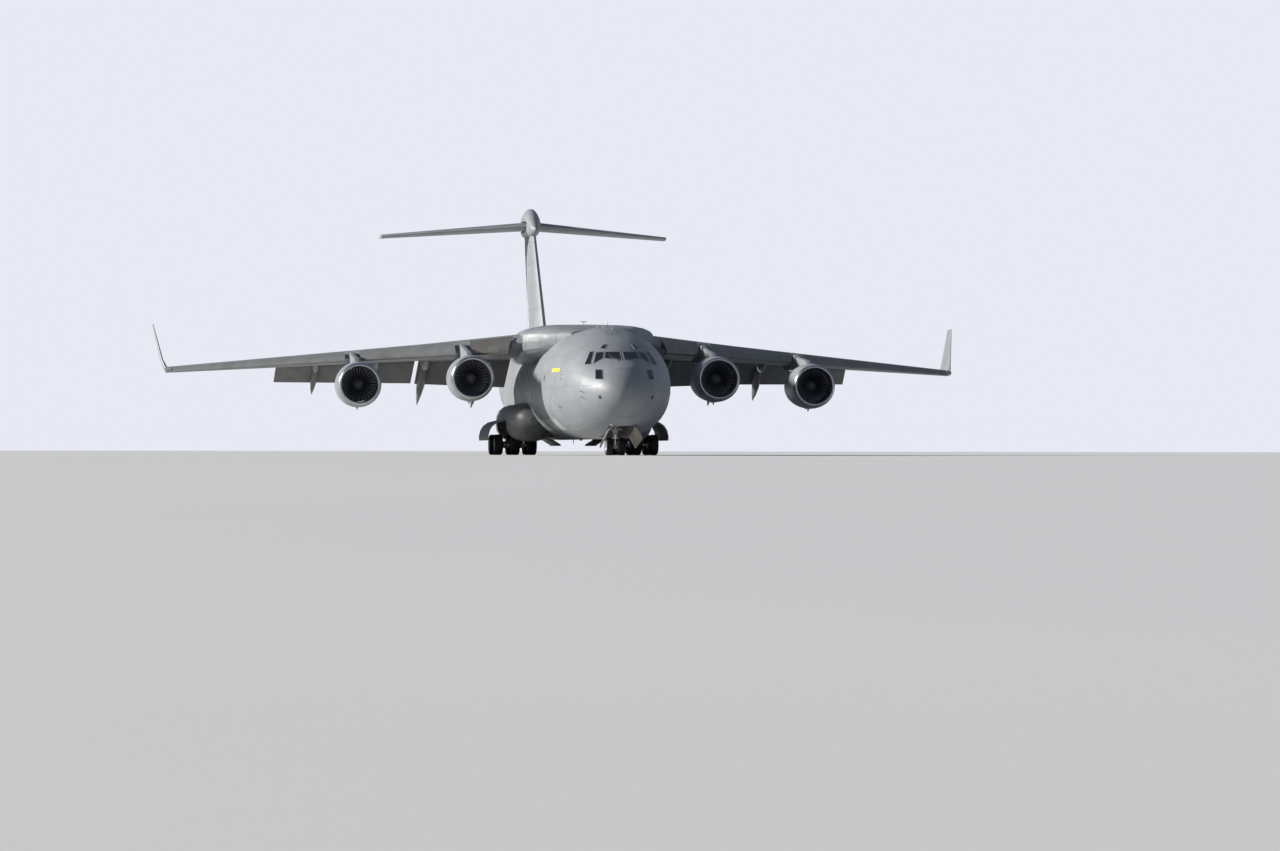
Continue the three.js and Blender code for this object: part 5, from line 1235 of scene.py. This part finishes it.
# Yellow patch on the starboard side; vents and ports on both as dark sheets, painted shade of openings
bm = bmesh.new()
sheet(bm, side_surface(-1), 5.95, 8.15, 4.82, 5.02)
for side in (-1, 1):
    for edges in (
        (5.15, 5.4, 4.62, 4.66), (5.2, 5.45, 4.36, 4.4), (8.35, 8.45, 3.3, 3.4), (7.85, 7.98, 2.5, 2.62),
        (6.1, 6.2, 2.7, 2.9), (5.75, 5.85, 2.7, 2.85),
    ):
        sheet(bm, side_surface(side), *edges, index=1)
    disc(bm, 0.95, 3.28, side, 0.1, 0.006, 1)
finish_mesh(bm, "skin_marks", [yellow_mark, painted_opening_shade], 60)


# Aerials and probes. Section of a blade: [share of its length, share of its half thickness]
AERIAL_SECTION = (
    (0, 0.05), (0.12, 0.6), (0.35, 1), (0.7, 0.65), (1, 0.06), (0.7, -0.65), (0.35, -1), (0.12, -0.6),
)


def blade(bm, base, height, length, thick, rake, up=1):
    """Blade aerial, tapered and raked back."""
    x, s, z = base
    rings = []
    for share in (0, 0.3, 0.7, 0.95, 1.0):
        chord = length * (1 - 0.45 * share) * (1 if share < 1 else 0.7)
        front = s + rake * share * height
        rings.append([
            at(x + w * thick / 2 * (1 - 0.5 * share), front + c * chord, z + up * (height * share - 0.02))
            for c, w in AERIAL_SECTION
        ])
    add_rings(bm, rings)


bm = bmesh.new()
for s, height in ((6.6, 0.16), (10.4, 0.32), (13.1, 0.3)):
    blade(bm, hull_crown(0, s), height, 0.34, 0.045, 0.7)
for s in (9.2, 12.4, 16.9):
    blade(bm, hull_keel(0.25, s), 0.3, 0.3, 0.04, 0.6, -1)
blade(bm, hull_keel(0, 24.0), 0.3, 0.26, 0.05, 0.3, -1)
for side in (-1, 1):
    for height in (3.62, 3.3):
        x, s, z = hull_side(2.35, height, side)
        rod(bm, (x - side * 0.02, s, z), (x + side * 0.13, s - 0.02, z), 0.022, 12, 1)
        rod(bm, (x + side * 0.12, s - 0.01, z), (x + side * 0.13, s - 0.3, z), 0.014, 12, 1)
rod(bm, hull_crown(0, 8.8, -0.02), hull_crown(0, 8.8, 0.42), 0.018, 8, 1, 0.008)
rod(bm, (0, 19.3, 7.88), (0, 19.3, 8.16), 0.026, 10, 1)
rod(bm, (-0.2, 19.3, 8.14), (0.2, 19.3, 8.14), 0.02, 10, 1)
finish_mesh(bm, "aerials_and_probes", [hull_paint, steel], 50)


# Floor and light
floor_tree = Tree("studio_floor")
floor_tones = ((0.6, 0.595, 0.585, 1), (0.65, 0.642, 0.628, 1))
floor_tree.set("Base Color", floor_tree.mix(floor_tree.noise(0.02, 3), *floor_tones))
floor_tree.set("Roughness", floor_tree.span(floor_tree.noise(0.5, 3), 0.85, 0.95))
bm = bmesh.new()
bmesh.ops.create_grid(bm, x_segments=4, y_segments=4, size=2500)
mesh = bpy.data.meshes.new("studio_floor")
bm.to_mesh(mesh)
bm.free()
mesh.materials.append(floor_tree.material)
studio_floor = linked("studio_floor", mesh)
studio_floor.location.z = -0.002

world = bpy.data.worlds.new("studio")
bpy.context.scene.world = world
world.use_nodes = True
sky = world.node_tree
ambient = next(n for n in sky.nodes if n.type == "BACKGROUND")
output = next(n for n in sky.nodes if n.type == "OUTPUT_WORLD")
backdrop = add_node(sky, "Background", {"Color": (0.8, 0.82, 0.9, 1), "Strength": 1.0})
put(sky, ambient.inputs["Color"], (0.52, 0.64, 0.92, 1))
put(sky, ambient.inputs["Strength"], 0.2)
in_view = add_node(sky, "LightPath").outputs["Is Camera Ray"]
mixer = add_node(sky, "MixShader", {0: in_view, 1: ambient.outputs[0], 2: backdrop.outputs[0]})
put(sky, output.inputs[0], mixer.outputs[0])


def sun(name, travel, strength, angle, colour, glossy=True):
    data = bpy.data.lights.new(name, "SUN")
    data.energy = strength
    data.angle = math.radians(angle)
    data.color = colour
    lamp = linked(name, data)
    lamp.rotation_mode = "QUATERNION"
    lamp.rotation_quaternion = Vector(travel).to_track_quat("-Z", "Y")
    lamp.visible_glossy = glossy
    lamp.visible_transmission = glossy


sun("key", (0.9, -0.24, -0.36), 6.35, 7, (1.0, 0.975, 0.93))
sun("fill", (-0.3, 0.85, -0.2), 0.2, 40, (0.85, 0.9, 1.0))
sun("rim", (-0.6, -0.74, -0.3), 0.85, 40, (0.88, 0.93, 1.0), glossy=False)
bpy.context.scene.view_settings.view_transform = "Standard"
